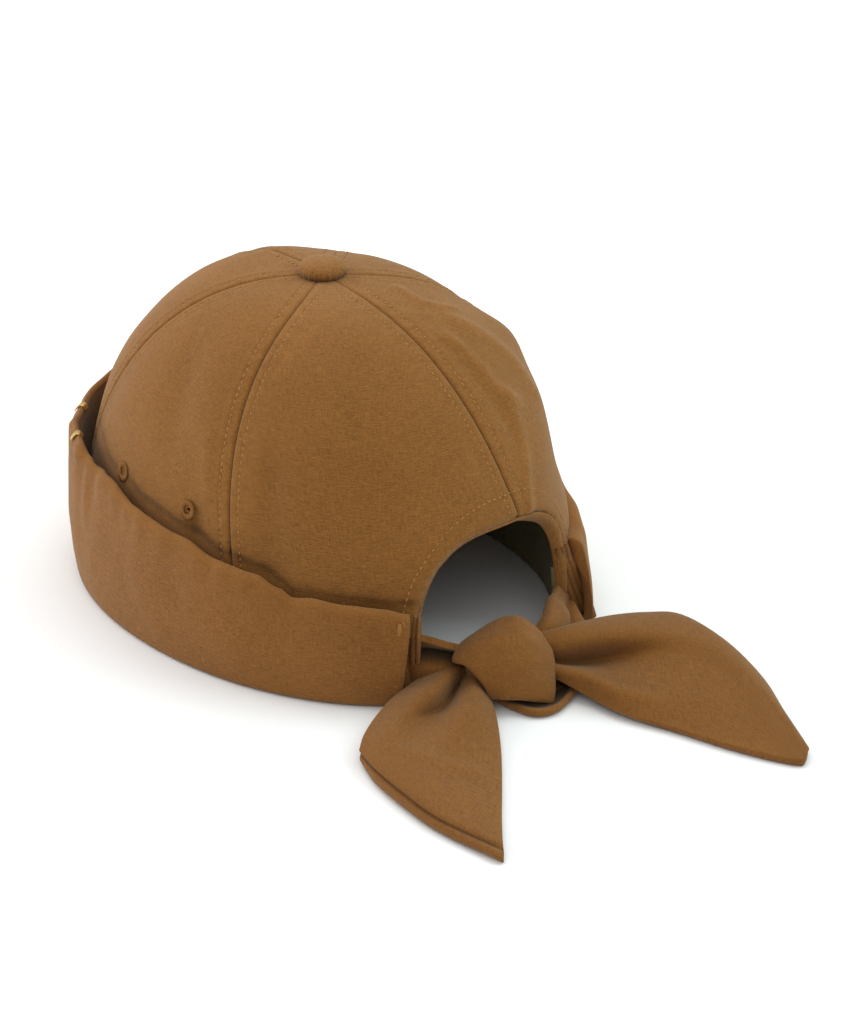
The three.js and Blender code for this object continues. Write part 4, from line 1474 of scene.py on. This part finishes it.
panels = [make_panel(i) for i in range(len(SEAMS))]
seam_rows(panels)
arch_row(panels)
make_lip()
make_button()
for word, side in (("left", 1), ("right", -1)):
    for number, turn in enumerate(EYELET_TURNS, 1):
        make_eyelet(panels, f"eyelet_{word}_{number}", side * turn)
make_cuff()
make_sweatband()
for number, turn in enumerate(CLIP_TURNS, 1):
    make_clip(f"clip_{number}", turn)
make_bar_tack()
for number, (path, radius) in enumerate(END_ROLLS, 1):
    make_roll(f"cuff_end_roll_{number}", path, radius)
make_strap("tie_strap_left_cloth", STRAP_LEFT, "tie_strap_left")
make_strap("tie_strap_right_cloth", STRAP_RIGHT, "tie_strap_right")
make_strap("tie_strap_under_cloth", STRAP_UNDER)
make_knot()
make_fold()


# Floor, light and camera
FLOOR_REACH = 6
FLOOR_COLOUR = (0.9, 0.9, 0.9, 1)


def make_floor():
    bm = bmesh.new()
    bmesh.ops.create_grid(bm, x_segments=1, y_segments=1, size=FLOOR_REACH)
    mesh = bpy.data.meshes.new("floor")
    bm.to_mesh(mesh)
    bm.free()
    floor = bpy.data.objects.new("floor", mesh)
    bpy.context.scene.collection.objects.link(floor)
    finish = Finish("floor_paper", {"Base Color": FLOOR_COLOUR, "Roughness": 0.9})
    floor.data.materials.append(finish.material)


# Studio lights: name, place, aim, size, power in watts and tone, in metres
LIGHTS = [
    ("overhead", (-0.35, -0.35, 1.5), (0, 0, 0), (1.6, 1.6), 11.5, (0.98, 1.0, 0.97)),
    ("left", (0.7, -1.28, 0.7), (0, 0, 0.05), (1.0, 1.0), 13, (1, 1, 1)),
    ("right", (-1.05, 0.86, 0.95), (0, 0, 0.05), (1.4, 1.4), 11.5, (0.76, 1.0, 0.99)),
    ("front", (1.05, 1.05, 1.5), (0, 0, 0.05), (1.5, 1.2), 7, (1, 1, 1)),
]
WORLD_STRENGTH = 0.6


def add_light(name, place, aim, size, power, tone):
    lamp = bpy.data.lights.new(name, "AREA")
    lamp.shape = "RECTANGLE"
    lamp.size, lamp.size_y = size
    lamp.energy = power
    lamp.color = tone
    light = bpy.data.objects.new(name, lamp)
    light.location = place
    light.rotation_euler = (Vector(aim) - Vector(place)).to_track_quat("-Z", "Y").to_euler()
    bpy.context.scene.collection.objects.link(light)


def make_light():
    world = bpy.data.worlds.new("studio")
    bpy.context.scene.world = world
    world.use_nodes = True
    background = world.node_tree.nodes["Background"]
    background.inputs["Color"].default_value = (1, 1, 1, 1)
    background.inputs["Strength"].default_value = WORLD_STRENGTH
    for row in LIGHTS:
        add_light(*row)
    bpy.context.scene.view_settings.view_transform = "Standard"


CAMERA_PLACE = (746.3, 823.0, 587.0)
CAMERA_SIGHT = (-0.6231, -0.6406, -0.4488)
CAMERA_FOCAL_PIXELS = 3224
IMAGE_HEIGHT = 1024
SENSOR = 36


def make_camera():
    data = bpy.data.cameras.new("camera")
    data.sensor_width = SENSOR
    data.lens = CAMERA_FOCAL_PIXELS * SENSOR / IMAGE_HEIGHT
    camera = bpy.data.objects.new("camera", data)
    camera.location = metres(CAMERA_PLACE)
    camera.rotation_euler = Vector(CAMERA_SIGHT).to_track_quat("-Z", "Y").to_euler()
    bpy.context.scene.collection.objects.link(camera)
    bpy.context.scene.camera = camera


make_floor()
make_tails()
make_light()
make_camera()
